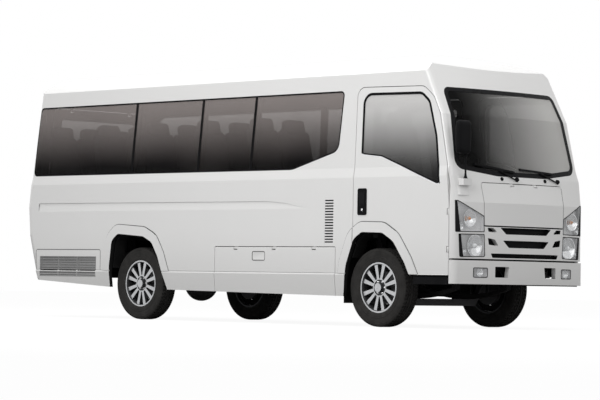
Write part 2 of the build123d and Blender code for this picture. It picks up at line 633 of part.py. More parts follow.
# Cab doors
for name, frame, y_low, y_high, turn in (("right", right_door_frame, -side_reach, -DOOR_INNER, -1),
                                         ("left", left_door_frame, DOOR_INNER, side_reach, 1)):
    places = [turn * place for place in DOOR_PLACES]
    run = tuple(sorted((turn * DOOR_FOOT_Z, turn * SILL_Z)))
    with BuildPart() as cab_door:
        add(shell.part)
        add(side_prism(CAB_DOOR, y_low, y_high), mode=Mode.INTERSECT)
        add(side_prism(CAB_WINDOW, y_low, y_high), mode=Mode.SUBTRACT)
        add(hinge_cut(frame, places, run), mode=Mode.SUBTRACT)
        add(hinge_pins(frame, places))
    save(cab_door.part, f"cab_door_{name}")

# Passenger door on the left side
with BuildPart() as passenger_door:
    add(shell.part)
    add(side_prism(GATE, inner_reach, side_reach), mode=Mode.INTERSECT)
    add(side_prism(GATE_WINDOW, inner_reach, side_reach), mode=Mode.SUBTRACT)
    add(hinge_cut(gate_frame, GATE_PLACES, (GATE_FOOT_Z, SILL_Z)), mode=Mode.SUBTRACT)
    add(hinge_pins(gate_frame, GATE_PLACES))
save(passenger_door.part, "passenger_door")

# Service flap
with BuildPart() as service_flap:
    add(shell.part)
    add(side_prism(FLAP, -side_reach, -DOOR_INNER), mode=Mode.INTERSECT)
    add(hinge_cut(flap_frame, FLAP_PLACES, (FLAP[0][0], FLAP[2][0])), mode=Mode.SUBTRACT)
    add(hinge_pins(flap_frame, FLAP_PLACES))
save(service_flap.part, "service_flap")

# Vent panel with its rows of slots
with BuildPart() as vent_panel:
    add(shell.part)
    add(side_prism(VENT, -side_reach, -DOOR_INNER), mode=Mode.INTERSECT)
    vent_step = (VENT_TO - VENT_FROM) / VENT_COLUMNS
    slot_places = [(VENT_FROM + vent_step * (column + 0.5), -BODY_HALF,
                    VENT_LOW_Z + VENT_SLOT / 2 + VENT_PITCH * row)
                   for column in range(VENT_COLUMNS) for row in range(VENT_COUNT)]
    with Locations(*slot_places):
        Box(vent_step - VENT_SLOT, 4 * WALL, VENT_SLOT, mode=Mode.SUBTRACT)
save(vent_panel.part, "vent_panel")

# Glass, as thin layers just inside the skin
with BuildPart() as glass_layer:
    add(envelope(GLASS_RECESS))
    add(envelope(GLASS_RECESS + GLASS), mode=Mode.SUBTRACT)

PANES = [
    ("windshield", end_prism(SCREEN, front_low_x, far_nose, -FIT)),
    ("hatch_glass", end_prism(HATCH_GLASS, far_tail, tail_high_x, -FIT)),
    ("cab_door_glass_right", side_prism(CAB_WINDOW, -side_reach, -DOOR_INNER, -FIT)),
    ("cab_door_glass_left", side_prism(CAB_WINDOW, DOOR_INNER, side_reach, -FIT)),
    ("passenger_door_glass", side_prism(GATE_WINDOW, inner_reach, side_reach, -FIT)),
]
for name, outline in PANES:
    with BuildPart() as pane:
        add(glass_layer.part)
        add(outline, mode=Mode.INTERSECT)
    save(pane.part, name)

for name, outline, y_low, y_high in (("right", BAND, -side_reach, -inner_reach),
                                     ("left", LEFT_BAND, inner_reach, side_reach)):
    with BuildPart() as side_glass:
        add(within(glass_layer.part, side_prism(outline, y_low, y_high, -FIT)))
        for station in JOINT_STATIONS:
            foot, head = fx(station), fx(station + JOINT_SLANT)
            joint = [(foot, BAND_LOW_Z - WALL), (foot + JOINT_WIDTH, BAND_LOW_Z - WALL),
                     (head + JOINT_WIDTH, BAND_HIGH_Z + WALL), (head, BAND_HIGH_Z + WALL)]
            add(side_prism(sharp(joint), y_low, y_high), mode=Mode.SUBTRACT)
    save(side_glass.part, f"side_glass_{name}")

# Lamps, flush with the skin
for name, outlines, x_low, x_high in (("headlamps", (LAMP_UP, LAMP_LOW), lamp_low_x, far_nose),
                                      ("tail_lamps", (TAIL_LAMP,), far_tail, tail_high_x)):
    with BuildPart() as lamps:
        for outline in outlines:
            for half in (outline, flipped(outline)):
                add(within(shell.part, end_prism(half, x_low, x_high, -FIT)))
    save(lamps.part, name)

# Front bumper with pockets for the fog lamps and the tow hooks
bumper_level = (BUMPER_LOW_Z, BODY_HALF, 0, 0, NOSE_SAG, NOSE_ROUND, TAIL_ROUND)
bumper_back_x = fx(DOOR_FRONT) + GAP
with BuildPart() as bumper_bar:
    extrude(plan_outline(bumper_level, 0), amount=BUMPER_HIGH_Z - BUMPER_LOW_Z)
    extrude(plan_outline(bumper_level, BUMPER_WALL), amount=BUMPER_HIGH_Z - BUMPER_LOW_Z, mode=Mode.SUBTRACT)
    add(block_between((bumper_back_x, -side_reach, 0), (far_nose, side_reach, TOP_Z)), mode=Mode.INTERSECT)
with BuildPart() as front_bumper:
    add(bumper_bar.part)
    for outline in (FOG, HOOK_HOLE):
        add(end_prism(outline, front_low_x, far_nose), mode=Mode.SUBTRACT)
        add(end_prism(flipped(outline), front_low_x, far_nose), mode=Mode.SUBTRACT)
    for side in (-1, 1):
        bracket_y = side * RAIL_Y
        add(block_between((RAIL_FRONT_X + FIT, bracket_y - RAIL_WIDTH / 2, BRACKET_LOW_Z),
                          (RAIL_FRONT_X + BUMPER_WALL, bracket_y + RAIL_WIDTH / 2, BUMPER_HIGH_Z)))
save(front_bumper.part, "front_bumper")

with BuildPart() as fog_lamps:
    for outline in (FOG, flipped(FOG)):
        add(within(bumper_bar.part, end_prism(outline, front_low_x, far_nose, -FIT)))
save(fog_lamps.part, "fog_lamps")

# Frame: two channel rails, cross members and the towing eyes
RAIL_REAR_X = TAIL_X + 230
CROSS_STATIONS = [940.0, 520.0, -720.0, -1700.0, -2700.0, -4300.0, -4950.0]
CROSS_WIDTH = 70.0
EYE_R = 14.0
EYE_OUTER_R = 34.0
EYE_THICK = 24.0
EYE_Z = 490.0
eye_low_z = EYE_Z - EYE_THICK / 2
rail_mid_z = (RAIL_LOW_Z + RAIL_HIGH_Z) / 2
rail_mid_x = (RAIL_FRONT_X + RAIL_REAR_X) / 2
with BuildPart() as chassis_frame:
    for side in (-1, 1):
        with Locations((rail_mid_x, side * RAIL_Y, rail_mid_z)):
            Box(RAIL_FRONT_X - RAIL_REAR_X, RAIL_WIDTH, RAIL_HIGH_Z - RAIL_LOW_Z)
        with Locations((rail_mid_x, side * (RAIL_Y - RAIL_WEB), rail_mid_z)):
            Box(RAIL_FRONT_X - RAIL_REAR_X, RAIL_WIDTH, RAIL_HIGH_Z - RAIL_LOW_Z - 2 * RAIL_WEB,
                mode=Mode.SUBTRACT)
    cross_reach = 2 * (RAIL_OUT_Y - RAIL_WEB)
    with Locations(*[(fx(station), 0, rail_mid_z) for station in CROSS_STATIONS]):
        Box(CROSS_WIDTH, cross_reach, RAIL_HIGH_Z - RAIL_LOW_Z - 2 * RAIL_WEB)
    for x in (RAIL_FRONT_X - EYE_OUTER_R, RAIL_REAR_X + EYE_OUTER_R):
        for side in (-1, 1):
            with Locations((x, side * (RAIL_OUT_Y - EYE_THICK / 2), (eye_low_z + RAIL_LOW_Z) / 2)):
                Box(2 * EYE_OUTER_R, EYE_THICK, RAIL_LOW_Z - eye_low_z)
            with BuildSketch(Plane.XY.offset(eye_low_z)):
                with Locations((x, side * (RAIL_OUT_Y + GAP + EYE_R))):
                    Circle(EYE_OUTER_R)
                    Circle(EYE_R, mode=Mode.SUBTRACT)
            extrude(amount=EYE_THICK)
save(chassis_frame.part, "chassis_frame")

# Front beam axle, dropped between the kingpin bosses
BEAM_Z = 235.0
BEAM_HEIGHT = 66.0
BEAM_WIDTH = 70.0
BEAM_BEND_Y = 455.0
NECK_Y = 556.0
NECK_STEP = 6.0
BOSS_R = 32.0
BOSS_HEIGHT = 90.0
with BuildPart() as front_axle:
    with BuildSketch(Plane.YZ.offset(FRONT_AXLE_X - BEAM_WIDTH / 2)):
        with BuildLine():
            low, high = BEAM_Z - BEAM_HEIGHT / 2, BEAM_Z + BEAM_HEIGHT / 2
            neck_low = TYRE_R - BOSS_HEIGHT / 2 + NECK_STEP
            neck_high = TYRE_R + BOSS_HEIGHT / 2 - NECK_STEP
            Polyline((0, low), (BEAM_BEND_Y, low), (NECK_Y, neck_low), (KINGPIN_Y, neck_low),
                     (KINGPIN_Y, neck_high), (NECK_Y, neck_high), (BEAM_BEND_Y, high), (0, high))
            mirror(about=Plane.YZ)
        make_face()
    extrude(amount=BEAM_WIDTH)
    with Locations((FRONT_AXLE_X, -KINGPIN_Y, TYRE_R), (FRONT_AXLE_X, KINGPIN_Y, TYRE_R)):
        Cylinder(BOSS_R, BOSS_HEIGHT)
        Cylinder(KINGPIN_R + FIT, BOSS_HEIGHT, mode=Mode.SUBTRACT)
save(front_axle.part, "front_axle")

# Steering knuckles: fork, kingpin, brake drum and spindle
FORK_THICK = 24.0
FORK_WIDTH = 51.0
FORK_GAP = 1.0
PLATE_GAP = 10.0
DRUM_FROM = 668.0
DRUM_TO = WHEEL_Y - 8
SPINDLE_END = WHEEL_Y + 50
for name, side in (("right", -1), ("left", 1)):
    with BuildPart() as knuckle:
        for end in (-1, 1):
            fork_z = TYRE_R + end * (BOSS_HEIGHT / 2 + FORK_GAP + FORK_THICK / 2)
            with Locations((FRONT_AXLE_X, side * KINGPIN_Y, fork_z)):
                Cylinder(BOSS_R, FORK_THICK)
            with Locations((FRONT_AXLE_X, side * (KINGPIN_Y + DRUM_FROM) / 2, fork_z)):
                Box(FORK_WIDTH, DRUM_FROM - KINGPIN_Y, FORK_THICK)
        with Locations((FRONT_AXLE_X, side * KINGPIN_Y, TYRE_R)):
            Cylinder(KINGPIN_R, BOSS_HEIGHT + 2 * FORK_GAP + 2 * FORK_THICK)
        plate_from = KINGPIN_Y + BOSS_R + PLATE_GAP
        with Locations((FRONT_AXLE_X, side * (plate_from + DRUM_FROM) / 2, TYRE_R)):
            Box(FORK_WIDTH, DRUM_FROM - plate_from, BOSS_HEIGHT + 2 * FORK_GAP + 2 * FORK_THICK)
        with BuildSketch(Plane.XZ.offset(-side * DRUM_FROM)):
            with Locations((FRONT_AXLE_X, TYRE_R)):
                Circle(DRUM_R)
        extrude(amount=-side * (DRUM_TO - DRUM_FROM))
        with BuildSketch(Plane.XZ.offset(-side * DRUM_FROM)):
            with Locations((FRONT_AXLE_X, TYRE_R)):
                Circle(SPINDLE_R)
        extrude(amount=-side * (SPINDLE_END - DRUM_FROM))
    save(knuckle.part, f"knuckle_{name}")

# Rear axle: tube, differential and brake drums
TUBE_R = 52.0
DIFF_R = 172.0
with BuildPart() as rear_axle:
    with BuildSketch(Plane.XZ.offset(-DRUM_FROM)):
        with Locations((REAR_AXLE_X, TYRE_R)):
            Circle(TUBE_R)
    extrude(amount=2 * DRUM_FROM)
    with Locations((REAR_AXLE_X, 0, TYRE_R)):
        Sphere(DIFF_R)
    for side in (-1, 1):
        for radius, end in ((DRUM_R, DRUM_TO), (SPINDLE_R, SPINDLE_END)):
            with BuildSketch(Plane.XZ.offset(-side * DRUM_FROM)):
                with Locations((REAR_AXLE_X, TYRE_R)):
                    Circle(radius)
            extrude(amount=-side * (end - DRUM_FROM))
save(rear_axle.part, "rear_axle")

# Road wheels: tyre and alloy rim, turned about the axle line
SPOKES = 6
SPOKE_PAIR = 27.0
SPOKE_ROOT = 26.0
SPOKE_TIP = 40.0
SPOKE_THICK = 24.0
SPOKE_FACE = 62.0
HUB_R = 84.0
NUT_DISH_R = 74.0
NUT_DISH_DEEP = 12.0
CAP_R = 42.0
CAP_PROUD = 24.0
HUB_FROM = 2.0
HUB_LONG = 44.0
RIM_WALL = 14.0
RIM_DROP = 20.0
LIP = 18.0
BEAD = 14.0
BULGE = 55.0
BULGE_ROUND = 60.0
SHOULDER_SET = 6.0
SHOULDER_ROUND = 30.0
TREAD_EDGE = 28.0
TREAD_ROUND = 14.0
tyre_half = TYRE_WIDTH / 2
shoulder_r = TYRE_R - TREAD_EDGE
tread_half = tyre_half - TREAD_EDGE
WHEELS = [("front_right", FRONT_AXLE_X, -1), ("front_left", FRONT_AXLE_X, 1),
          ("rear_right", REAR_AXLE_X, -1), ("rear_left", REAR_AXLE_X, 1)]
for name, axle_x, side in WHEELS:
    wheel_plane = Plane(origin=(axle_x, side * WHEEL_Y, TYRE_R), x_dir=(0, 0, 1), z_dir=(-1, 0, 0))
    axle_line = Axis((axle_x, side * WHEEL_Y, TYRE_R), (0, 1, 0))
    with BuildPart() as tyre:
        with BuildSketch(wheel_plane):
            with BuildLine():
                FilletPolyline((RIM_R, BEAD - tyre_half), (RIM_R + BULGE, -tyre_half),
                               (shoulder_r, SHOULDER_SET - tyre_half), (TYRE_R, -tread_half),
                               (TYRE_R, tread_half), (shoulder_r, tyre_half - SHOULDER_SET),
                               (RIM_R + BULGE, tyre_half), (RIM_R, tyre_half - BEAD),
                               radius=(BULGE_ROUND, SHOULDER_ROUND, TREAD_ROUND, TREAD_ROUND, SHOULDER_ROUND,
                                       BULGE_ROUND))
                Line((RIM_R, tyre_half - BEAD), (RIM_R, BEAD - tyre_half))
            make_face()
        revolve(axis=axle_line)
    save(tyre.part, f"tyre_{name}")

    # Rim: barrel with its lips, hub with its bore, and paired spokes on the outer side
    with BuildPart() as rim:
        with BuildSketch(wheel_plane):
            with BuildLine():
                barrel_r = RIM_R - FIT
                lip_y = tyre_half - LIP
                Polyline((barrel_r, -lip_y), (barrel_r, lip_y), (barrel_r - RIM_WALL, lip_y),
                         (barrel_r - RIM_DROP, lip_y - LIP), (barrel_r - RIM_DROP, LIP - lip_y),
                         (barrel_r - RIM_WALL, -lip_y), close=True)
            make_face()
        revolve(axis=axle_line)
        with BuildSketch(Plane.XZ.offset(-side * (WHEEL_Y + HUB_FROM))):
            with Locations((axle_x, TYRE_R)):
                Circle(HUB_R)
        extrude(amount=-side * HUB_LONG)
        spoke_from = HUB_R - LIP
        spoke_to = RIM_R - RIM_DROP + LIP / 2
        with BuildSketch(Plane.XZ.offset(-side * (WHEEL_Y + SPOKE_FACE - SPOKE_THICK))):
            with Locations((axle_x, TYRE_R)):
                for turn in (-SPOKE_PAIR / 2, SPOKE_PAIR / 2):
                    with PolarLocations(0, SPOKES, start_angle=90 + turn):
                        Polygon((spoke_from, -SPOKE_ROOT / 2), (spoke_to, -SPOKE_TIP / 2),
                                (spoke_to, SPOKE_TIP / 2), (spoke_from, SPOKE_ROOT / 2), align=None)
                Circle(HUB_R)
        extrude(amount=-side * SPOKE_THICK)
        with BuildSketch(Plane.XZ.offset(-side * (WHEEL_Y + SPOKE_FACE - NUT_DISH_DEEP))):
            with Locations((axle_x, TYRE_R)):
                Circle(NUT_DISH_R)
                Circle(CAP_R, mode=Mode.SUBTRACT)
        extrude(amount=-side * NUT_DISH_DEEP, mode=Mode.SUBTRACT)
        with BuildSketch(Plane.XZ.offset(-side * (WHEEL_Y + HUB_FROM))):
            with Locations((axle_x, TYRE_R)):
                Circle(HUB_BORE_R)
        extrude(amount=-side * (SPINDLE_END - WHEEL_Y - HUB_FROM + FIT), mode=Mode.SUBTRACT)
        with BuildSketch(Plane.XZ.offset(-side * (WHEEL_Y + SPOKE_FACE))):
            with Locations((axle_x, TYRE_R)):
                Circle(CAP_R)
        extrude(amount=-side * CAP_PROUD)
    save(rim.part, f"rim_{name}")

# Leaf springs: an arched pack below each rail, with a hanger at each end of it
LEAF_THICK = 46.0
LEAF_HALF = 560.0
LEAF_WIDTH = 60.0
HANGER_WIDTH = 50.0
# Place of the axle, height of its spring seat, rise of the spring to its ends
SPRINGS = [(FRONT_AXLE_X, BEAM_Z + BEAM_HEIGHT / 2, 95.0), (REAR_AXLE_X, TYRE_R + TUBE_R, 60.0)]
with BuildPart() as leaf_springs:
    for axle_x, seat_z, leaf_rise in SPRINGS:
        end_z = seat_z + leaf_rise
        for side in (-1, 1):
            with BuildSketch(Plane.XZ.offset(-side * RAIL_Y - LEAF_WIDTH / 2)):
                with BuildLine():
                    low_arc = ThreePointArc((axle_x - LEAF_HALF, end_z), (axle_x, seat_z),
                                            (axle_x + LEAF_HALF, end_z))
                    end_top_z = end_z + LEAF_THICK / 2
                    high_arc = ThreePointArc((axle_x - LEAF_HALF, end_top_z), (axle_x, seat_z + LEAF_THICK),
                                             (axle_x + LEAF_HALF, end_top_z))
                    Line(low_arc @ 0, high_arc @ 0)
                    Line(low_arc @ 1, high_arc @ 1)
                make_face()
            extrude(amount=LEAF_WIDTH)
            for end in (-1, 1):
                hanger_x = axle_x + end * (LEAF_HALF - HANGER_WIDTH / 2)
                with Locations((hanger_x, side * RAIL_Y, (end_z + RAIL_LOW_Z) / 2)):
                    Box(HANGER_WIDTH, LEAF_WIDTH, RAIL_LOW_Z - end_z)
save(leaf_springs.part, "leaf_springs")

# Engine with its gearbox between the rails, resting on two cross members
ENGINE_HALF = 250.0
ENGINE_LOW_Z = 420.0
ENGINE_HIGH_Z = 815.0
GEARBOX_HALF = 150.0
GEARBOX_HIGH_Z = RAIL_LOW_Z - 10.0
GEARBOX_BACK = 180.0
BELL_LENGTH = 200.0
SUMP_SET = 150.0
SHAFT_R = 40.0
SHAFT_Z = 455.0
SHAFT_SEAT = 2.0
engine_rear = fx(CROSS_STATIONS[2]) + CROSS_WIDTH / 2
engine_front = fx(CROSS_STATIONS[1]) - CROSS_WIDTH / 2 - FIT
gearbox_rear = fx(CROSS_STATIONS[2]) - GEARBOX_BACK
sump_rear = engine_rear + BELL_LENGTH
with BuildPart() as engine_block:
    add(block_between((engine_rear + FIT, -ENGINE_HALF, RAIL_LOW_Z),
                      (engine_front, ENGINE_HALF, ENGINE_HIGH_Z)))
    add(block_between((sump_rear, -GEARBOX_HALF, ENGINE_LOW_Z),
                      (engine_front - SUMP_SET, GEARBOX_HALF, RAIL_LOW_Z)))
    add(block_between((gearbox_rear, -GEARBOX_HALF, ENGINE_LOW_Z), (sump_rear, GEARBOX_HALF, GEARBOX_HIGH_Z)))
save(engine_block.part, "engine_block")

# Propeller shaft from the gearbox to the differential
shaft_front = Vector(gearbox_rear + SHAFT_R, 0, SHAFT_Z)
shaft_rear = Vector(REAR_AXLE_X + DIFF_R - SHAFT_SEAT, 0, TYRE_R)
with BuildPart() as propeller_shaft:
    with BuildSketch(Plane(origin=shaft_front, z_dir=shaft_rear - shaft_front)):
        Circle(SHAFT_R)
    extrude(amount=(shaft_rear - shaft_front).length)
    with Locations((REAR_AXLE_X, 0, TYRE_R)):
        Sphere(DIFF_R, mode=Mode.SUBTRACT)
    add(engine_block.part, mode=Mode.SUBTRACT)
save(propeller_shaft.part, "propeller_shaft")

# Fuel tank on the right rail, behind the service flap
TANK_FROM = fx(-1650)
TANK_TO = fx(-760)
TANK_OUT_Y = 780.0
TANK_LOW_Z = 345.0
TANK_HIGH_Z = 660.0
TANK_ROUND = 60.0
with BuildPart() as fuel_tank:
    with BuildSketch(Plane.YZ.offset(TANK_FROM)):
        with Locations((-(RAIL_OUT_Y + FIT + TANK_OUT_Y) / 2, (TANK_LOW_Z + TANK_HIGH_Z) / 2)):
            RectangleRounded(TANK_OUT_Y - RAIL_OUT_Y - FIT, TANK_HIGH_Z - TANK_LOW_Z, TANK_ROUND)
    extrude(amount=TANK_TO - TANK_FROM)
save(fuel_tank.part, "fuel_tank")

# Exhaust: silencer and tailpipe on the left, hung from the rail
SILENCER_R = 95.0
SILENCER_FROM = fx(-2300)
SILENCER_TO = fx(-1650)
PIPE_R = 28.0
PIPE_END = TAIL_X + 260.0
EXHAUST_Y = 560.0
EXHAUST_Z = 440.0
PIPE_FRONT_Z = 470.0
PIPE_ROUND = 90.0
PIPE_SEAT = 5.0
PIPE_RISE = 110.0
# Tailpipe's bends: behind the silencer, in front of and behind the axle, and the last one
BEND_BACK = 120.0
BEND_OVER = 330.0
BEND_LAST = 700.0
DOWNPIPE_SET = 260.0
DOWNPIPE_RUN = 400.0
STRAP_HALF = 15.0
STRAP_THICK = 12.0
STRAP_TOP_Z = RAIL_HIGH_Z - 20
STRAP_PLACES = [SILENCER_FROM + 100, SILENCER_TO - 100, PIPE_END + 250]
pipe_from_x = gearbox_rear + DOWNPIPE_SET
with BuildPart() as exhaust:
    with BuildSketch(Plane.YZ.offset(SILENCER_FROM)):
        with Locations((EXHAUST_Y, EXHAUST_Z)):
            Circle(SILENCER_R)
    extrude(amount=SILENCER_TO - SILENCER_FROM)
    with BuildLine() as pipe_path:
        over_z = TYRE_R + TUBE_R + LEAF_THICK + PIPE_RISE
        bends = [(SILENCER_FROM + PIPE_SEAT, EXHAUST_Z), (SILENCER_FROM - BEND_BACK, EXHAUST_Z),
                 (rx(BEND_OVER), over_z), (rx(-BEND_OVER), over_z), (rx(-BEND_LAST), EXHAUST_Z),
                 (PIPE_END, EXHAUST_Z)]
        FilletPolyline(*[(x, EXHAUST_Y, z) for x, z in bends], radius=PIPE_ROUND)
    with BuildSketch(Plane(origin=pipe_path.line @ 0, z_dir=pipe_path.line % 0)):
        Circle(PIPE_R)
    sweep(path=pipe_path.line)
    with BuildLine() as front_path:
        FilletPolyline((pipe_from_x, GEARBOX_HALF + FIT, PIPE_FRONT_Z), (pipe_from_x, RAIL_Y, PIPE_FRONT_Z),
                       (pipe_from_x - DOWNPIPE_RUN, EXHAUST_Y, EXHAUST_Z),
                       (SILENCER_TO - PIPE_SEAT, EXHAUST_Y, EXHAUST_Z), radius=PIPE_ROUND)
    with BuildSketch(Plane(origin=front_path.line @ 0, z_dir=front_path.line % 0)):
        Circle(PIPE_R)
    sweep(path=front_path.line)
    strap_in_y = RAIL_OUT_Y + FIT
    for x in STRAP_PLACES:
        strap_foot = (x - STRAP_HALF, strap_in_y, EXHAUST_Z - STRAP_HALF)
        add(block_between(strap_foot, (x + STRAP_HALF, EXHAUST_Y, EXHAUST_Z + STRAP_HALF)))
        add(block_between(strap_foot, (x + STRAP_HALF, strap_in_y + STRAP_THICK, STRAP_TOP_Z)))
save(exhaust.part, "exhaust")

# Floor on its bearers, which stand on the rails and reach the side walls
FLOOR_LOW_Z = FLOOR_TOP_Z - FLOOR
BEARER_HEIGHT = 60.0
BEARER_WIDTH = 60.0
# Bearers: station from the front axle, and whether they reach the walls
MUD_STATION = -440.0
BEARERS = [(850, False), (300, False), (MUD_STATION, True), (-1400, True), (-2100, True), (-2800, True),
           (-4250, True), (-4950, True)]
POST_WIDTH = 60.0
FLOOR_FRONT = 1005.0
with BuildPart() as floor:
    add(envelope(WALL + GAP))
    add(block_between((far_tail, -side_reach, FLOOR_LOW_Z), (fx(FLOOR_FRONT), side_reach, FLOOR_TOP_Z)),
        mode=Mode.INTERSECT)
    for station, to_wall in BEARERS:
        bearer_half = BODY_HALF - WALL - (FIT if to_wall else 2 * GAP)
        with Locations((fx(station), 0, FLOOR_LOW_Z - BEARER_HEIGHT / 2)):
            Box(BEARER_WIDTH, 2 * bearer_half, BEARER_HEIGHT)
        post_z = (RAIL_HIGH_Z + FLOOR_LOW_Z - BEARER_HEIGHT) / 2
        with Locations((fx(station), RAIL_Y, post_z), (fx(station), -RAIL_Y, post_z)):
            Box(BEARER_WIDTH, POST_WIDTH, FLOOR_LOW_Z - BEARER_HEIGHT - RAIL_HIGH_Z)
    add(hinge_relief(right_door_frame, (-FLOOR_TOP_Z, -FLOOR_LOW_Z), WALL + 2 * GAP), mode=Mode.SUBTRACT)
    add(hinge_relief(left_door_frame, (FLOOR_LOW_Z, FLOOR_TOP_Z), WALL + 2 * GAP), mode=Mode.SUBTRACT)
save(floor.part, "floor")

# Wheel arch linings, hung from the floor
LINER_THICK = 8.0
LINER_IN_Y = 720.0
LINER_OUT_Y = BODY_HALF - WALL - GAP
LINER_POST = 60.0


def arch_lining(points, axle_x, foot_z, side):
    """Lining of one wheel arch above its foot, with the post that holds it."""
    placed = [(axle_x + x, z, r) for x, z, r in points]
    y_low, y_high = sorted((side * LINER_IN_Y, side * LINER_OUT_Y))
    with BuildPart() as lining:
        add(side_prism(placed, y_low, y_high, -GAP))
        add(side_prism(placed, y_low, y_high, -GAP - LINER_THICK), mode=Mode.SUBTRACT)
        add(block_between((TAIL_X, y_low, foot_z), (NOSE_X, y_high, WAIST_Z)), mode=Mode.INTERSECT)
        with Locations((axle_x - LINER_POST, (y_low + y_high) / 2, FLOOR_LOW_Z - LINER_POST / 2)):
            Box(LINER_POST, LINER_POST, LINER_POST)
    return lining.part


# Arch, axle and height of the lining's foot
LININGS = [(FRONT_ARCH, FRONT_AXLE_X, 640.0), (REAR_ARCH, REAR_AXLE_X, 520.0)]
MUD_IN_Y = 640.0
MUD_OUT_Y = BODY_HALF - 60.0
MUD_THICK = 12.0
MUD_LOW_Z = 215.0
with BuildPart() as arch_liners:
    for points, axle_x, foot_z in LININGS:
        for side in (-1, 1):
            add(arch_lining(points, axle_x, foot_z, side))
    mud_high_z = FLOOR_LOW_Z - BEARER_HEIGHT
    for side in (-1, 1):
        with Locations((fx(MUD_STATION), side * (MUD_IN_Y + MUD_OUT_Y) / 2, (MUD_LOW_Z + mud_high_z) / 2)):
            Box(MUD_THICK, MUD_OUT_Y - MUD_IN_Y, mud_high_z - MUD_LOW_Z)
save(arch_liners.part, "arch_liners")

# Cab steps below the doors, on arms from the rails
STEP_FROM = fx(500)
STEP_TO = fx(DOOR_FRONT) - GAP
STEP_LOW_Z = 403.0
STEP_HIGH_Z = 470.0
STEP_IN_Y = 640.0
STEP_OUT_Y = BODY_HALF - 8.0
ARM_STATIONS = [580.0, 860.0]
ARM_WIDTH = 40.0
ARM_PLATE = 10.0
step_mid_x = (STEP_FROM + STEP_TO) / 2
step_mid_y = (STEP_IN_Y + STEP_OUT_Y) / 2
arm_from_y = RAIL_OUT_Y + FIT
arm_to_y = STEP_IN_Y + ARM_PLATE
with BuildPart() as cab_steps:
    for side in (-1, 1):
        with Locations((step_mid_x, side * step_mid_y, (STEP_LOW_Z + STEP_HIGH_Z) / 2)):
            Box(STEP_TO - STEP_FROM, STEP_OUT_Y - STEP_IN_Y, STEP_HIGH_Z - STEP_LOW_Z)
        for station in ARM_STATIONS:
            with Locations((fx(station), side * (arm_from_y + arm_to_y) / 2, STEP_LOW_Z + ARM_WIDTH / 2)):
                Box(ARM_WIDTH, arm_to_y - arm_from_y, ARM_WIDTH)
            plate_y = side * (arm_from_y + ARM_PLATE / 2)
            with Locations((fx(station), plate_y, (STEP_LOW_Z + RAIL_HIGH_Z) / 2)):
                Box(ARM_WIDTH, ARM_PLATE, RAIL_HIGH_Z - STEP_LOW_Z)
save(cab_steps.part, "cab_steps")

# Dashboard against the cab's front wall
DASH_HALF = 770.0
DASH_LOW_Z = 1080.0
DASH_HIGH_Z = 1380.0
DASH_FROM = fx(720)
DASH_SET = 120.0
DASH = [(DASH_FROM + DASH_SET, DASH_LOW_Z, 40), (DASH_FROM, DASH_LOW_Z + 90, 40),
        (DASH_FROM + 30, DASH_HIGH_Z - 30, 40), (DASH_FROM + DASH_SET, DASH_HIGH_Z, 60),
        (far_nose, DASH_HIGH_Z, 0), (far_nose, DASH_LOW_Z, 0)]
LID_BAY_X = fx(950)
with BuildPart() as dashboard:
    add(backing_block)
    add(side_prism(DASH, -DASH_HALF, DASH_HALF), mode=Mode.INTERSECT)
    add(end_prism(LID, LID_BAY_X, far_nose, 2 * GAP), mode=Mode.SUBTRACT)
save(dashboard.part, "dashboard")

# Steering wheel on its column, on the right
STEER_Y = -400.0
STEER_X = fx(600)
STEER_Z = 1470.0
STEER_R = 205.0
STEER_GRIP = 15.0
STEER_HUB_R = 45.0
STEER_SPOKES = 3
STEER_SPOKE_WIDTH = 34.0
STEER_SPOKE_THICK = 14.0
COLUMN_R = 28.0
COLUMN_LONG = 330.0
COLUMN_RAKE = 51.5
wheel_face = Plane(origin=(STEER_X, STEER_Y, STEER_Z), x_dir=(0, 1, 0),
                   z_dir=Vector(1, 0, 0).rotate(Axis.Y, COLUMN_RAKE))
with BuildPart() as steering_wheel:
    with BuildSketch(wheel_face):
        Circle(STEER_HUB_R)
        with PolarLocations(STEER_R / 2, STEER_SPOKES, start_angle=90):
            Rectangle(STEER_R, STEER_SPOKE_WIDTH)
    extrude(amount=STEER_SPOKE_THICK)
    with BuildSketch(wheel_face):
        Circle(COLUMN_R)
    extrude(amount=COLUMN_LONG)
    with BuildLine(wheel_face) as grip_path:
        CenterArc((0, 0), STEER_R, 0, 360)
    with BuildSketch(Plane(origin=grip_path.line @ 0, z_dir=grip_path.line % 0)):
        Circle(STEER_GRIP)
    sweep(path=grip_path.line)
    add(dashboard.part, mode=Mode.SUBTRACT)
save(steering_wheel.part, "steering_wheel")

# Seats: side profile from the hip point on the floor, and the rows of the cabin
SEAT_PROFILE = [(470, 300, 20), (480, 400, 40), (60, 395, 60), (-110, 980, 20), (-215, 960, 20),
                (-70, 290, 60)]
HEAD_PROFILE = [(-98, 955, 15), (-125, 1085, 40), (-222, 1075, 40), (-205, 950, 15)]
SEAT_WIDTH = 410.0
HEAD_WIDTH = 260.0
LEG_WIDTH = 240.0
LEG_LENGTH = 380.0
LEG_HEIGHT = 310.0
# Rows: place of the hip point, places across, seat width
ROWS = [
    (fx(40), (-470,), 470.0),
    (fx(40), (300,), 760.0),
    (fx(-1726), (-575, -150), SEAT_WIDTH),
    (fx(-2513), (-575, -150, 575), SEAT_WIDTH),
    (fx(-3300), (-575, -150, 575), SEAT_WIDTH),
    (fx(-4087), (-575, -150, 575), SEAT_WIDTH),
    (fx(-4850), (-585, -195, 195, 585), 380.0),
]


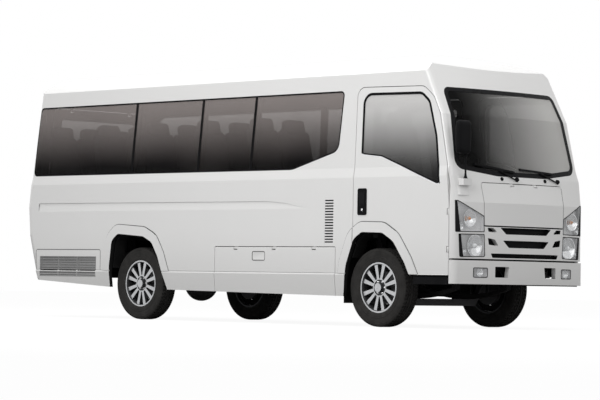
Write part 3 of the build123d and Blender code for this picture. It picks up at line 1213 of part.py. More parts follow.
def seat(hip_x, seat_y, width):
    """One seat with its headrest and its foot."""
    with BuildPart() as one:
        for profile, wide in ((SEAT_PROFILE, width), (HEAD_PROFILE, HEAD_WIDTH)):
            placed = [(hip_x + x, FLOOR_TOP_Z + z, r) for x, z, r in profile]
            add(side_prism(placed, seat_y - wide / 2, seat_y + wide / 2))
        foot_y = LEG_WIDTH / 2
        add(block_between((hip_x, seat_y - foot_y, FLOOR_TOP_Z),
                          (hip_x + LEG_LENGTH, seat_y + foot_y, FLOOR_TOP_Z + LEG_HEIGHT)))
    return one.part


with BuildPart() as seats:
    for hip_x, row, width in ROWS:
        for seat_y in row:
            add(seat(hip_x, seat_y, width))
save(seats.part, "seats")

# Mirror on the right: foot on the cowl, upright arm and head
MIRROR_Y = -755.0
MIRROR_X = fx(1010)
MIRROR_FOOT_Z = 1330.0
MIRROR_HEAD_Z = 1735.0
MIRROR_HIGH = 300.0
MIRROR_WIDE = 175.0
MIRROR_DEEP = 65.0
MIRROR_ROUND = 45.0
MIRROR_EDGE = 24.0
MIRROR_HANG = 35.0
ARM_R = 9.0
FOOT_SET = 15.0
FOOT_LONG = 90.0
FOOT_WIDE = 110.0
FOOT_HIGH = 60.0
with BuildPart() as mirror_right:
    with Locations((MIRROR_X - FOOT_SET, MIRROR_Y, MIRROR_FOOT_Z)):
        Box(FOOT_LONG, FOOT_WIDE, FOOT_HIGH)
    add(outer_block, mode=Mode.SUBTRACT)
    with Locations((MIRROR_X, MIRROR_Y, (MIRROR_FOOT_Z + MIRROR_HEAD_Z) / 2)):
        Cylinder(ARM_R, MIRROR_HEAD_Z - MIRROR_FOOT_Z)
    with BuildSketch(Plane.YZ.offset(MIRROR_X - MIRROR_DEEP / 2)):
        with Locations((MIRROR_Y - MIRROR_HANG, MIRROR_HEAD_Z)):
            RectangleRounded(MIRROR_WIDE, MIRROR_HIGH, MIRROR_ROUND)
    extrude(amount=MIRROR_DEEP)
    fillet(mirror_right.faces().sort_by(Axis.X)[-1].edges(), MIRROR_EDGE)
save(mirror_right.part, "mirror_right")

# Door handles, on the doors' skin
HANDLE_PROUD = 8.0
HANDLE_LOW_Z = 1035.0
HANDLE_HIGH_Z = 1283.0
HANDLE_WIDE = 118.0
HANDLE_ROUND = 25.0
CAB_HANDLE_X = fx(-160)
GATE_HANDLE_X = GATE_REAR + 110
for name, handle_x, side in (("cab_right", CAB_HANDLE_X, -1), ("cab_left", CAB_HANDLE_X, 1),
                             ("passenger", GATE_HANDLE_X, 1)):
    with BuildPart() as handle:
        with BuildSketch(Plane.XZ.offset(-side * (BODY_HALF + FIT))):
            with Locations((handle_x, (HANDLE_LOW_Z + HANDLE_HIGH_Z) / 2)):
                RectangleRounded(HANDLE_WIDE, HANDLE_HIGH_Z - HANDLE_LOW_Z, HANDLE_ROUND)
        extrude(amount=-side * (HANDLE_PROUD - FIT))
    save(handle.part, f"handle_{name}")

# Wipers: pivot boss, arm and blade along the foot of the screen
WIPER_R = 9.0
WIPER_FOOT_Z = 1362.0
# Pivot and blade ends across the bus, and the blade's height at each end
WIPERS = [(-85, -600, 1500, -110, 1440), (505, -30, 1470, 440, 1445)]
with BuildPart() as wiper_bars:
    for pivot_y, from_y, from_z, to_y, to_z in WIPERS:
        blade = [(from_y, from_z - WIPER_R), (to_y, to_z - WIPER_R), (to_y, to_z + WIPER_R),
                 (from_y, from_z + WIPER_R)]
        mid_y, mid_z = (from_y + to_y) / 2, (from_z + to_z) / 2
        arm = [(pivot_y - WIPER_R, WIPER_FOOT_Z), (pivot_y + WIPER_R, WIPER_FOOT_Z), (mid_y + WIPER_R, mid_z),
               (mid_y - WIPER_R, mid_z)]
        add(end_prism(sharp(blade), front_low_x, far_nose))
        add(end_prism(sharp(arm), front_low_x, far_nose))
with BuildPart() as wipers:
    add(envelope(-2 * WIPER_R))
    add(outer_block, mode=Mode.SUBTRACT)
    add(wiper_bars.part, mode=Mode.INTERSECT)
save(wipers.part, "wipers")
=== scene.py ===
"""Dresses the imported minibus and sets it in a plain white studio."""

from __future__ import annotations

import json
import logging
import math
from dataclasses import dataclass
from enum import Enum
from typing import Callable, Iterable, Sequence, Union

import bmesh
import bpy
from mathutils import Matrix, Vector

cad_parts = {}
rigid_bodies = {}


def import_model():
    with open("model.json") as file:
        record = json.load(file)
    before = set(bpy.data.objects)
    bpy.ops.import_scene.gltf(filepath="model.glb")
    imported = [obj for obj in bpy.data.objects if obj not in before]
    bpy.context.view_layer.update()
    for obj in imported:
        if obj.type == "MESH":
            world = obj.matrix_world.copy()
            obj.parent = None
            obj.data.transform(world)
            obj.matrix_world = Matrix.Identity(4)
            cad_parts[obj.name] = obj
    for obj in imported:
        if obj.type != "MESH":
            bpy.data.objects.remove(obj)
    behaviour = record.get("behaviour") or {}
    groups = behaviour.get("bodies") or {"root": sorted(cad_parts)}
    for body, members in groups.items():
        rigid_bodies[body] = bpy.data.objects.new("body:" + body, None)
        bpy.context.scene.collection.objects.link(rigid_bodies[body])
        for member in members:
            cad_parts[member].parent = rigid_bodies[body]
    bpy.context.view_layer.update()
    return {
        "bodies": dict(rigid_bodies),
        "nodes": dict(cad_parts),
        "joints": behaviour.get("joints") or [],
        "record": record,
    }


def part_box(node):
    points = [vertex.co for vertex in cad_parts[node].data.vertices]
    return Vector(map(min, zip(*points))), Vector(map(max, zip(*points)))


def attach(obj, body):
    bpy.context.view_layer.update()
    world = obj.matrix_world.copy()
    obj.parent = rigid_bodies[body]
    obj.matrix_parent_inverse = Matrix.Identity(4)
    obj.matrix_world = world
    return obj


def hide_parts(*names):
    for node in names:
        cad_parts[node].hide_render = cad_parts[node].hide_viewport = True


LOG = logging.getLogger("minibus")
WELD = 1e-5

Mesh = bmesh.types.BMesh
Vert = bmesh.types.BMVert
Edge = bmesh.types.BMEdge
Face = bmesh.types.BMFace
Colour = tuple[float, float, float]
Point = Union[tuple[float, float, float], Vector]
Span = tuple[float, float]
Profile = Sequence[Span]

AHEAD = Vector((1.0, 0.0, 0.0))
ENDS = ("front", "rear")


class Slot(Enum):
    """Names of the record's material slots."""

    PAINT = "body_paint"
    CLEAR = "clear_lamp"
    PLASTIC = "black_plastic"
    STEEL = "bare_steel"
    FABRIC = "seat_fabric"
    TYRE = "tyre"
    ALLOY = "alloy"


class Smoothing(Enum):
    """Kinds of shading: edges below the angle, in degrees, are shaded round."""

    CRISP = 30.0
    TREAD = 35.0
    TURNED = 40.0
    MOULDED = 60.0
    CLOTH = 80.0


class Side(Enum):
    """The two sides of the bus, by the sign of Y."""

    RIGHT = -1
    LEFT = 1

    @property
    def word(self) -> str:
        """The side's name in lower case."""
        return self.name.lower()

    @property
    def out(self) -> Vector:
        """The way out of the bus on this side."""
        return Vector((0.0, self.value, 0.0))

    @property
    def turn(self) -> Matrix:
        """Turns the X axis to the way out."""
        return Matrix.Rotation(math.radians(90.0 * self.value), 4, "Z")

    def mirrored(self, point: Point) -> Vector:
        """A point or way of the left side, on this side."""
        return Vector((point[0], self.value * point[1], point[2]))


@dataclass(frozen=True)
class Wire:
    """A shader socket that takes part in sums."""

    graph: "Graph"
    socket: bpy.types.NodeSocket

    def __add__(self, other: "Term") -> "Wire":
        """Sum of the two."""
        return self.graph.math("ADD", self, other)

    __radd__ = __add__

    def __sub__(self, other: "Term") -> "Wire":
        """This less the other."""
        return self.graph.math("SUBTRACT", self, other)

    def __rsub__(self, other: "Term") -> "Wire":
        """The other less this."""
        return self.graph.math("SUBTRACT", other, self)

    def __mul__(self, other: "Term") -> "Wire":
        """Product of the two."""
        return self.graph.math("MULTIPLY", self, other)

    __rmul__ = __mul__

    def step(self, low: float, high: float) -> "Wire":
        """Smooth rise from 0 at low to 1 at high.

        Args:
            low: value where the rise starts.
            high: value where it ends.

        Returns:
            The risen value.
        """
        node = self.graph.add(
            "ShaderNodeMapRange",
            {"interpolation_type": "SMOOTHSTEP"},
            {"Value": self, "From Min": low, "From Max": high},
        )
        return Wire(self.graph, node.outputs["Result"])


Term = Union[Wire, float]


class Graph:
    """A node tree under construction."""

    def __init__(self, tree: bpy.types.NodeTree) -> None:
        """Empties the tree.

        Args:
            tree: the material's or world's node tree.
        """
        self.tree = tree
        self.tree.nodes.clear()

    def add(
        self,
        kind: str,
        settings: dict[str, object] | None = None,
        inputs: dict[str | int, object] | None = None,
    ) -> bpy.types.Node:
        """Adds one node.

        Args:
            kind: the node's type name.
            settings: properties to set on it.
            inputs: sockets by name or number, each a wire or a plain value.

        Returns:
            The new node.
        """
        node = self.tree.nodes.new(kind)
        for key, value in (settings or {}).items():
            setattr(node, key, value)
        for key, value in (inputs or {}).items():
            if isinstance(value, Wire):
                self.tree.links.new(value.socket, node.inputs[key])
            else:
                node.inputs[key].default_value = value
        return node

    def math(self, operation: str, left: Term, right: Term) -> Wire:
        """One sum of two terms."""
        node = self.add("ShaderNodeMath", {"operation": operation}, {0: left, 1: right})
        return Wire(self, node.outputs[0])

    def place(self) -> Wire:
        """The point in the object's own coordinates, which are the frame's."""
        return Wire(self, self.add("ShaderNodeTexCoord").outputs["Object"])

    def axis(self, letter: str) -> Wire:
        """One coordinate of the point, in metres."""
        node = self.add("ShaderNodeSeparateXYZ", None, {0: self.place()})
        return Wire(self, node.outputs[letter])

    def noise(self, scale: float, detail: float = 3.0) -> Wire:
        """Cloudy values from 0 to 1.

        Args:
            scale: clouds to the metre.
            detail: octaves of finer clouds.

        Returns:
            The noise as a wire.
        """
        node = self.add(
            "ShaderNodeTexNoise", None, {"Vector": self.place(), "Scale": scale, "Detail": detail}
        )
        return Wire(self, node.outputs[0])

    def wave(self, scale: float, along: str) -> Wire:
        """Even ribs across one axis.

        Args:
            scale: ribs to the metre, about.
            along: X, Y or Z, the axis that the ribs follow each other along.

        Returns:
            The ribs' height from 0 to 1.
        """
        node = self.add(
            "ShaderNodeTexWave",
            {"bands_direction": along},
            {"Vector": self.place(), "Scale": scale, "Distortion": 0.0},
        )
        return Wire(self, node.outputs["Fac"])

    def blend(self, share: Term, low: Colour, high: Colour) -> Wire:
        """A colour between two.

        Args:
            share: 0 for the low colour and 1 for the high one.
            low: the one colour.
            high: the other colour.

        Returns:
            The mixed colour.
        """
        node = self.add(
            "ShaderNodeMix", {"data_type": "RGBA"}, {0: share, 6: (*low, 1.0), 7: (*high, 1.0)}
        )
        return Wire(self, node.outputs[2])

    def bump(self, height: Wire, strength: float, depth: float) -> Wire:
        """A normal roughened by a height.

        Args:
            height: the height, 0 to 1.
            strength: share of the effect.
            depth: real depth in metres.

        Returns:
            The normal.
        """
        node = self.add(
            "ShaderNodeBump", None, {"Strength": strength, "Distance": depth, "Height": height}
        )
        return Wire(self, node.outputs[0])

    def surface(self, inputs: dict[str, object]) -> None:
        """Ends the tree with one principled surface."""
        shader = self.add("ShaderNodeBsdfPrincipled", None, inputs)
        self.add("ShaderNodeOutputMaterial", None, {"Surface": Wire(self, shader.outputs[0])})


@dataclass(frozen=True)
class Finish:
    """A surface finish that is made once and then shared."""

    name: str

    def material(self) -> bpy.types.Material:
        """The finish's material, made on first use."""
        found = bpy.data.materials.get(self.name)
        if found:
            return found
        made = bpy.data.materials.new(self.name)
        made.use_nodes = True
        self.shade(Graph(made.node_tree))
        return made

    def shade(self, graph: Graph) -> None:
        """Fills the graph; each kind of finish does it its own way."""
        raise NotImplementedError


@dataclass(frozen=True)
class GlossPaint(Finish):
    """Sprayed and lacquered body paint, with painted shade that makes it a little greyer near the road."""

    # The first colour is the paint itself; the second is painted shade for the lower body.
    clean: Colour = (0.80, 0.797, 0.79)
    dusty: Colour = (0.70, 0.697, 0.69)
    dust_top: float = 0.95
    dust_low: float = 0.25
    cloud_scale: float = 3.0
    cloud_share: float = 0.2
    cloud_base: float = 0.85
    cloud_haze: float = 0.08
    roughness: float = 0.26
    coat: float = 0.45
    coat_roughness: float = 0.04
    peel_scale: float = 900.0
    peel_strength: float = 0.3
    peel_depth: float = 0.00004

    def shade(self, graph: Graph) -> None:
        """Paint with painted shade that greys it downwards, with faint clouds and orange peel."""
        # Painted shade: the colour greys from the upper level down to the lower one; the same rise also thins
        # the coat.
        height = graph.axis("Z").step(self.dust_low, self.dust_top)
        clouds = graph.noise(self.cloud_scale)
        share = height * (clouds * self.cloud_share + self.cloud_base)
        peel = graph.noise(self.peel_scale)
        graph.surface(
            {
                "Base Color": graph.blend(share, self.dusty, self.clean),
                "Roughness": clouds * self.cloud_haze + self.roughness,
                "Coat Weight": height * self.coat,
                "Coat Roughness": self.coat_roughness,
                "Normal": graph.bump(peel, self.peel_strength, self.peel_depth),
            }
        )


@dataclass(frozen=True)
class TintedGlass(Finish):
    """A tinted pane, dark at its foot, with a painted reflection of the sky that makes it paler towards its
    head.
    """

    # The foot colour is the pane's own tint; the head colour is a painted reflection of the sky.
    foot: Colour = (0.003, 0.0025, 0.0025)
    head: Colour = (0.45, 0.40, 0.385)
    foot_level: float = 1.50
    head_level: float = 2.32
    across: str = "Z"
    clearness_foot: float = 0.36
    clearness_head: float = 0.56
    cloud_scale: float = 1.3
    cloud_share: float = 0.16
    smear_scale: float = 5.0
    smear: float = 0.03
    roughness: float = 0.02
    specular: float = 0.06

    def shade(self, graph: Graph) -> None:
        """The tint with its painted reflection, and the clearness, both follow the height of the pane."""
        rise = graph.axis(self.across).step(self.foot_level, self.head_level)
        cloud = graph.noise(self.cloud_scale) * self.cloud_share - self.cloud_share / 2
        span = self.clearness_head - self.clearness_foot
        graph.surface(
            {
                "Base Color": graph.blend(rise + cloud, self.foot, self.head),
                "Roughness": graph.noise(self.smear_scale) * self.smear + self.roughness,
                "Alpha": 1.0 - (rise * span + self.clearness_foot),
                "Specular IOR Level": self.specular,
            }
        )


@dataclass(frozen=True)
class ClearCover(Finish):
    """The clear cover over a lamp, which mostly shows what is behind it."""

    tint: Colour = (0.85, 0.87, 0.89)
    scuffed: Colour = (0.95, 0.95, 0.95)
    share: float = 0.16
    scuff_scale: float = 14.0
    scuff_share: float = 0.06
    scuff_haze: float = 0.05
    roughness: float = 0.02

    def shade(self, graph: Graph) -> None:
        """Faint cover, a little denser where it is scuffed."""
        scuff = graph.noise(self.scuff_scale)
        graph.surface(
            {
                "Base Color": graph.blend(scuff, self.tint, self.scuffed),
                "Roughness": scuff * self.scuff_haze + self.roughness,
                "Alpha": scuff * self.scuff_share + self.share,
            }
        )


@dataclass(frozen=True)
class Mottled(Finish):
    """A plain stuff such as rubber, moulded plastic or cast iron, with its own grain."""

    dark: Colour = (0.004, 0.004, 0.0045)
    pale: Colour = (0.011, 0.011, 0.012)
    roughness: float = 0.5
    spread: float = 0.15
    metallic: float = 0.0
    grain: float = 600.0
    grain_strength: float = 0.5
    grain_depth: float = 0.0003
    patches: float = 6.0
    specular: float = 0.05

    def shade(self, graph: Graph) -> None:
        """Patches of two near colours over a fine grain."""
        patches = graph.noise(self.patches)
        grain = graph.noise(self.grain)
        graph.surface(
            {
                "Base Color": graph.blend(patches, self.dark, self.pale),
                "Roughness": patches * self.spread + self.roughness,
                "Metallic": self.metallic,
                "Specular IOR Level": self.specular,
                "Normal": graph.bump(grain, self.grain_strength, self.grain_depth),
            }
        )


@dataclass(frozen=True)
class Ribbed(Finish):
    """A lens with even ribs moulded in it."""

    dark: Colour = (0.25, 0.008, 0.006)
    pale: Colour = (0.55, 0.03, 0.02)
    along: str = "Z"
    ribs: float = 40.0
    rib_strength: float = 0.6
    rib_depth: float = 0.002
    roughness: float = 0.12
    scuff_scale: float = 30.0
    scuff_haze: float = 0.1

    def shade(self, graph: Graph) -> None:
        """Colour and height follow the ribs."""
        ribs = graph.wave(self.ribs, self.along)
        graph.surface(
            {
                "Base Color": graph.blend(ribs, self.dark, self.pale),
                "Roughness": graph.noise(self.scuff_scale) * self.scuff_haze + self.roughness,
                "Normal": graph.bump(ribs, self.rib_strength, self.rib_depth),
            }
        )


@dataclass(frozen=True)
class Weave(Finish):
    """Woven seat cloth, two threads crossing."""

    warp: Colour = (0.03, 0.032, 0.038)
    weft: Colour = (0.075, 0.078, 0.088)
    threads: float = 260.0
    thread_strength: float = 0.7
    thread_depth: float = 0.0006
    fade_scale: float = 9.0
    fade_share: float = 0.4
    roughness: float = 0.95
    rub_scale: float = 40.0
    rub_shine: float = 0.1

    def shade(self, graph: Graph) -> None:
        """Threads along Y crossed by slanting ones."""
        weave = graph.wave(self.threads, "Y") * graph.wave(self.threads, "DIAGONAL")
        share = weave + graph.noise(self.fade_scale) * self.fade_share
        graph.surface(
            {
                "Base Color": graph.blend(share, self.warp, self.weft),
                "Roughness": self.roughness - graph.noise(self.rub_scale) * self.rub_shine,
                "Normal": graph.bump(weave, self.thread_strength, self.thread_depth),
            }
        )


PAINT = GlossPaint("white_paint")
# The head colours of these panes are painted reflections; on the windscreen the painted reflection pales
# along Y.
SIDE_GLASS = TintedGlass("side_window_glass")
DOOR_GLASS = TintedGlass(
    "cab_window_glass", foot=(0.004, 0.004, 0.004), head=(0.88, 0.87, 0.86),
    foot_level=1.36, head_level=2.22, clearness_foot=0.26, clearness_head=0.36,
)
SCREEN_GLASS = TintedGlass(
    "windscreen_glass", foot=(0.004, 0.004, 0.004), head=(0.80, 0.79, 0.77),
    foot_level=-0.65, head_level=0.85, across="Y", clearness_foot=0.45, clearness_head=0.45,
)
COVER = ClearCover("lamp_cover")
RUBBER = Mottled("window_rubber", roughness=0.55)
FRIT = Mottled(
    "screen_border", dark=(0.008, 0.008, 0.009), pale=(0.014, 0.014, 0.015), roughness=0.2,
)
PLASTIC = Mottled("grained_plastic", roughness=0.45)
LINING = Mottled("cabin_lining", dark=(0.10, 0.10, 0.10), pale=(0.15, 0.15, 0.15), roughness=0.8)
GRILLE_GREY = Mottled(
    "grille_grey", dark=(0.20, 0.20, 0.20), pale=(0.26, 0.26, 0.26), roughness=0.6,
)
UNDERSEAL = Mottled(
    "underseal", dark=(0.008, 0.008, 0.008), pale=(0.02, 0.02, 0.02), roughness=0.85,
)
FRAME_STEEL = Mottled(
    "frame_steel", dark=(0.012, 0.012, 0.013), pale=(0.035, 0.034, 0.033), roughness=0.5,
)
IRON = Mottled(
    "cast_iron", dark=(0.03, 0.03, 0.031), pale=(0.08, 0.078, 0.076), roughness=0.6, metallic=0.6,
    grain=250.0, grain_depth=0.0008,
)
PIPE_STEEL = Mottled(
    "pipe_steel", dark=(0.16, 0.15, 0.14), pale=(0.34, 0.33, 0.32), roughness=0.35, metallic=1.0,
    grain=80.0, grain_depth=0.0002,
)
BRIGHT = Mottled(
    "bright_trim", dark=(0.72, 0.72, 0.73), pale=(0.85, 0.85, 0.86), roughness=0.12, spread=0.08,
    metallic=1.0, grain=40.0, grain_depth=0.0001,
)
MACHINED = Mottled(
    "machined_alloy", dark=(0.62, 0.63, 0.65), pale=(0.78, 0.79, 0.80), roughness=0.24, spread=0.1,
    metallic=0.85, grain=700.0, grain_depth=0.0001, patches=20.0,
)
POCKET = Mottled(
    "rim_pocket_paint", dark=(0.05, 0.051, 0.054), pale=(0.11, 0.112, 0.116), roughness=0.4,
    metallic=0.5,
)
TREAD_RUBBER = Mottled(
    "tyre_rubber", dark=(0.020, 0.0195, 0.019), pale=(0.052, 0.050, 0.048), roughness=0.7,
    grain=350.0, patches=14.0,
)
FLOOR_SHEET = Mottled(
    "floor_sheet", dark=(0.03, 0.03, 0.033), pale=(0.06, 0.06, 0.064), roughness=0.7,
)
LENS = Mottled(
    "clear_lens", dark=(0.8, 0.82, 0.84), pale=(0.9, 0.91, 0.92), roughness=0.03, spread=0.04,
)
REFLECTOR = Mottled(
    "lamp_reflector", dark=(0.7, 0.71, 0.72), pale=(0.88, 0.89, 0.9), roughness=0.08, spread=0.06,
    metallic=1.0, grain=60.0, grain_depth=0.0003,
)
LAMP_TRAY = Mottled(
    "lamp_tray", dark=(0.74, 0.74, 0.75), pale=(0.88, 0.88, 0.89), roughness=0.28, metallic=0.1,
)
# Dark grey for the vent panel's seam and the latch's groove, and painted shadow along the arches' flares.
SEAM_AND_SHADE = Mottled("panel_seam", dark=(0.09, 0.09, 0.09), pale=(0.16, 0.16, 0.16), roughness=0.7)
AMBER = Ribbed(
    "amber_bulb", dark=(0.55, 0.16, 0.01), pale=(0.8, 0.3, 0.03), ribs=90.0, rib_depth=0.001,
)
RED_LENS = Ribbed("red_lens")
CLOTH = Weave("seat_cloth")


class Workshop:
    """Turns a finished mesh into a piece that rides on a body."""

    def __init__(self, frame: dict) -> None:
        """Keeps the frame's CAD nodes.
        """
        self.nodes: dict[str, bpy.types.Object] = frame["nodes"]

    def piece(
        self, name: str, mesh: Mesh, finish: Finish, body: str, slot: Slot,
        smooth: Smoothing = Smoothing.CRISP,
    ) -> bpy.types.Object:
        """Makes the object of a piece.

        Args:
            name: the piece's name.
            mesh: its shape in the frame; it is freed.
            finish: its finish.
            body: the CAD body that it rides on.
            slot: the material slot that it stands for; not used.
            smooth: how it is shaded.

        Returns:
            The new object.
        """
        bmesh.ops.recalc_face_normals(mesh, faces=mesh.faces)
        for face in mesh.faces:
            face.smooth = True
        for edge in mesh.edges:
            bend = edge.calc_face_angle(0.0) if len(edge.link_faces) == 2 else 0.0
            edge.smooth = bend <= math.radians(smooth.value)
        data = bpy.data.meshes.new(name)
        mesh.to_mesh(data)
        mesh.free()
        made = bpy.data.objects.new(name, data)
        bpy.context.scene.collection.objects.link(made)
        data.materials.append(finish.material())
        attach(made, body)
        LOG.info("piece %s on %s, %d faces", name, body, len(data.polygons))
        return made

    def dress(self, node: str, *finishes: Finish) -> bpy.types.Mesh:
        """Gives a CAD node its finishes, the first one on every face.

        Args:
            node: the CAD node.
            finishes: the finishes in the order of the node's slots.

        Returns:
            The node's mesh, for finishes that go on single faces.
        """
        data = self.nodes[node].data
        data.materials.clear()
        for finish in finishes:
            data.materials.append(finish.material())
        for polygon in data.polygons:
            polygon.material_index = 0
        LOG.info("dressed %s with %s", node, finishes[0].name)
        return data

    def copy(self, node: str, keep: Callable[[Face], bool]) -> Mesh:
        """A welded copy of some faces of a CAD node.

        Args:
            node: the CAD node.
            keep: says of a face whether it stays.

        Returns:
            The copied faces.
        """
        mesh = bmesh.new()
        mesh.from_mesh(self.nodes[node].data)
        bmesh.ops.remove_doubles(mesh, verts=mesh.verts, dist=WELD)
        only(mesh, [face for face in mesh.faces if keep(face)])
        return mesh


def only(mesh: Mesh, faces: Iterable[Face]) -> None:
    """Deletes all faces but some."""
    kept = set(faces)
    bmesh.ops.delete(mesh, geom=[face for face in mesh.faces if face not in kept], context="FACES")


def rim(mesh: Mesh, width: float, even: bool = True) -> list[Face]:
    """Insets a sheet from its border.

    Args:
        mesh: the sheet.
        width: the width of the band along the border.
        even: keeps the band's width at sharp corners.

    Returns:
        The faces of the band.
    """
    return bmesh.ops.inset_region(
        mesh, faces=mesh.faces[:], thickness=width, use_even_offset=even, use_boundary=True
    )["faces"]


def thickened(mesh: Mesh, rise: Point, lift: Point = (0.0, 0.0, 0.0)) -> list[Vert]:
    """Gives a sheet depth.

    Args:
        mesh: the sheet.
        rise: from its foot to its top.
        lift: how far its foot is moved first.

    Returns:
        The vertices of its top.
    """
    grown = bmesh.ops.extrude_face_region(mesh, geom=mesh.faces[:])["geom"]
    tops = [item for item in grown if isinstance(item, Vert)]
    bmesh.ops.translate(mesh, verts=mesh.verts[:], vec=lift)
    bmesh.ops.translate(mesh, verts=tops, vec=rise)
    return tops


def sliced(mesh: Mesh, point: Point, way: Point, inner: bool = False, outer: bool = False) -> None:
    """Cuts a mesh along a plane.

    Args:
        mesh: the mesh.
        point: a point of the plane.
        way: the plane's normal.
        inner: clears what lies behind the plane.
        outer: clears what lies in front of it.
    """
    everything = mesh.verts[:] + mesh.edges[:] + mesh.faces[:]
    bmesh.ops.bisect_plane(
        mesh, geom=everything, plane_co=point, plane_no=way, clear_inner=inner, clear_outer=outer
    )


def moved(mesh: Mesh, verts: Iterable[Vert], place: Matrix) -> None:
    """Moves vertices by a matrix."""
    bmesh.ops.transform(mesh, matrix=place, verts=list(verts))


def bevelled(mesh: Mesh, edges: Iterable[Edge], offset: float, segments: int) -> None:
    """Rounds some edges.

    Args:
        mesh: the mesh.
        edges: the edges to round.
        offset: width of the rounding.
        segments: faces across it.
    """
    bmesh.ops.bevel(
        mesh, geom=list(edges), offset=offset, offset_type="OFFSET", segments=segments, profile=0.5,
        affect="EDGES", material=-1,
    )


def raw_block(mesh: Mesh, size: Point) -> list[Vert]:
    """Adds a sharp block about the origin, to be shaped further.

    Args:
        mesh: the mesh to add to.
        size: its three lengths.

    Returns:
        The new vertices.
    """
    verts = bmesh.ops.create_cube(mesh, size=1.0)["verts"]
    bmesh.ops.scale(mesh, vec=size, verts=verts)
    return verts


def edges_of(verts: Iterable[Vert]) -> set[Edge]:
    """All edges that meet some vertices."""
    return {edge for vert in verts for edge in vert.link_edges}


def slat(mesh: Mesh, size: Point, place: Point, broken: float) -> None:
    """Adds a slat with broken edges.

    Args:
        mesh: the mesh to add to.
        size: its three lengths.
        place: its centre.
        broken: width of its broken edges.
    """
    verts = raw_block(mesh, size)
    bmesh.ops.translate(mesh, verts=verts, vec=place)
    bevelled(mesh, edges_of(verts), broken, 2)


def plate(size: Point, axis: int, radius: float, segments: int) -> Mesh:
    """A plate about the origin with round corners.

    Args:
        size: its three lengths.
        axis: the number of the axis that it is thin along.
        radius: the radius of its corners.
        segments: faces round a corner.

    Returns:
        The plate.
    """
    mesh = bmesh.new()
    raw_block(mesh, size)
    corners = [edge for edge in mesh.edges if abs((edge.verts[0].co - edge.verts[1].co)[axis]) > WELD]
    bevelled(mesh, corners, radius, segments)
    return mesh


def rounded_block(mesh: Mesh, size: Point, radius: float, cuts: int) -> list[Vert]:
    """Adds a block with round edges about the origin.

    Args:
        mesh: the mesh to add to.
        size: its three lengths.
        radius: the radius of its edges.
        cuts: cuts across each edge.

    Returns:
        The new vertices.
    """
    block = bmesh.new()
    bmesh.ops.create_cube(block, size=1.0)
    bmesh.ops.subdivide_edges(block, edges=block.edges[:], cuts=cuts, use_grid_fill=True)
    core = Vector([length / 2 - radius for length in size])
    for vert in block.verts:
        point = Vector([vert.co[axis] * size[axis] for axis in range(3)])
        nearest = Vector([max(-core[axis], min(core[axis], point[axis])) for axis in range(3)])
        reach = point - nearest
        vert.co = nearest + reach.normalized() * radius if reach.length > WELD else point
    data = bpy.data.meshes.new("block")
    block.to_mesh(data)
    block.free()
    count = len(mesh.verts)
    mesh.from_mesh(data)
    bpy.data.meshes.remove(data)
    mesh.verts.ensure_lookup_table()
    return mesh.verts[count:]


def turned(mesh: Mesh, profile: Profile, steps: int, place: Matrix) -> None:
    """Adds a profile spun about the X axis.

    Args:
        mesh: the mesh to add to.
        profile: points (x, radius); a radius of 0 closes the end.
        steps: faces round the turn.
        place: where it goes afterwards.
    """
    before = set(mesh.verts)
    verts = [mesh.verts.new((x, 0.0, radius)) for x, radius in profile]
    edges = [mesh.edges.new(pair) for pair in zip(verts, verts[1:])]
    bmesh.ops.spin(
        mesh, geom=verts + edges, cent=(0, 0, 0), axis=AHEAD, angle=math.tau, steps=steps, use_merge=True
    )
    made = [vert for vert in mesh.verts if vert not in before]
    bmesh.ops.remove_doubles(mesh, verts=made, dist=WELD)
    moved(mesh, [vert for vert in mesh.verts if vert not in before], place)


def facing(direction: Point, least: float) -> Callable[[Face], bool]:
    """A test that keeps faces turned towards a direction.

    Args:
        direction: where the faces look.
        least: smallest cosine that counts.

    Returns:
        The test.
    """
    wanted = Vector(direction).normalized()
    return lambda face: face.normal.dot(wanted) > least


def islands(mesh: Mesh) -> list[list[Vert]]:
    """Sorts a mesh into its separate lumps.

    Args:
        mesh: the mesh.

    Returns:
        The vertices of each lump.
    """
    found: list[list[Vert]] = []
    left = set(mesh.verts)
    while left:
        lump = [left.pop()]
        for vert in lump:
            near = {edge.other_vert(vert) for edge in vert.link_edges} & left
            left -= near
            lump.extend(near)
        found.append(lump)
    return found


def middle_of(node: str) -> Vector:
    """The middle of a CAD node's box."""
    low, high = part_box(node)
    return (low + high) / 2


@dataclass
class Assembly:
    """A sub-assembly that the workshop's pieces make up."""

    shop: Workshop

    def build(self) -> None:
        """Builds and dresses the pieces; each sub-assembly does it its own way."""
        raise NotImplementedError


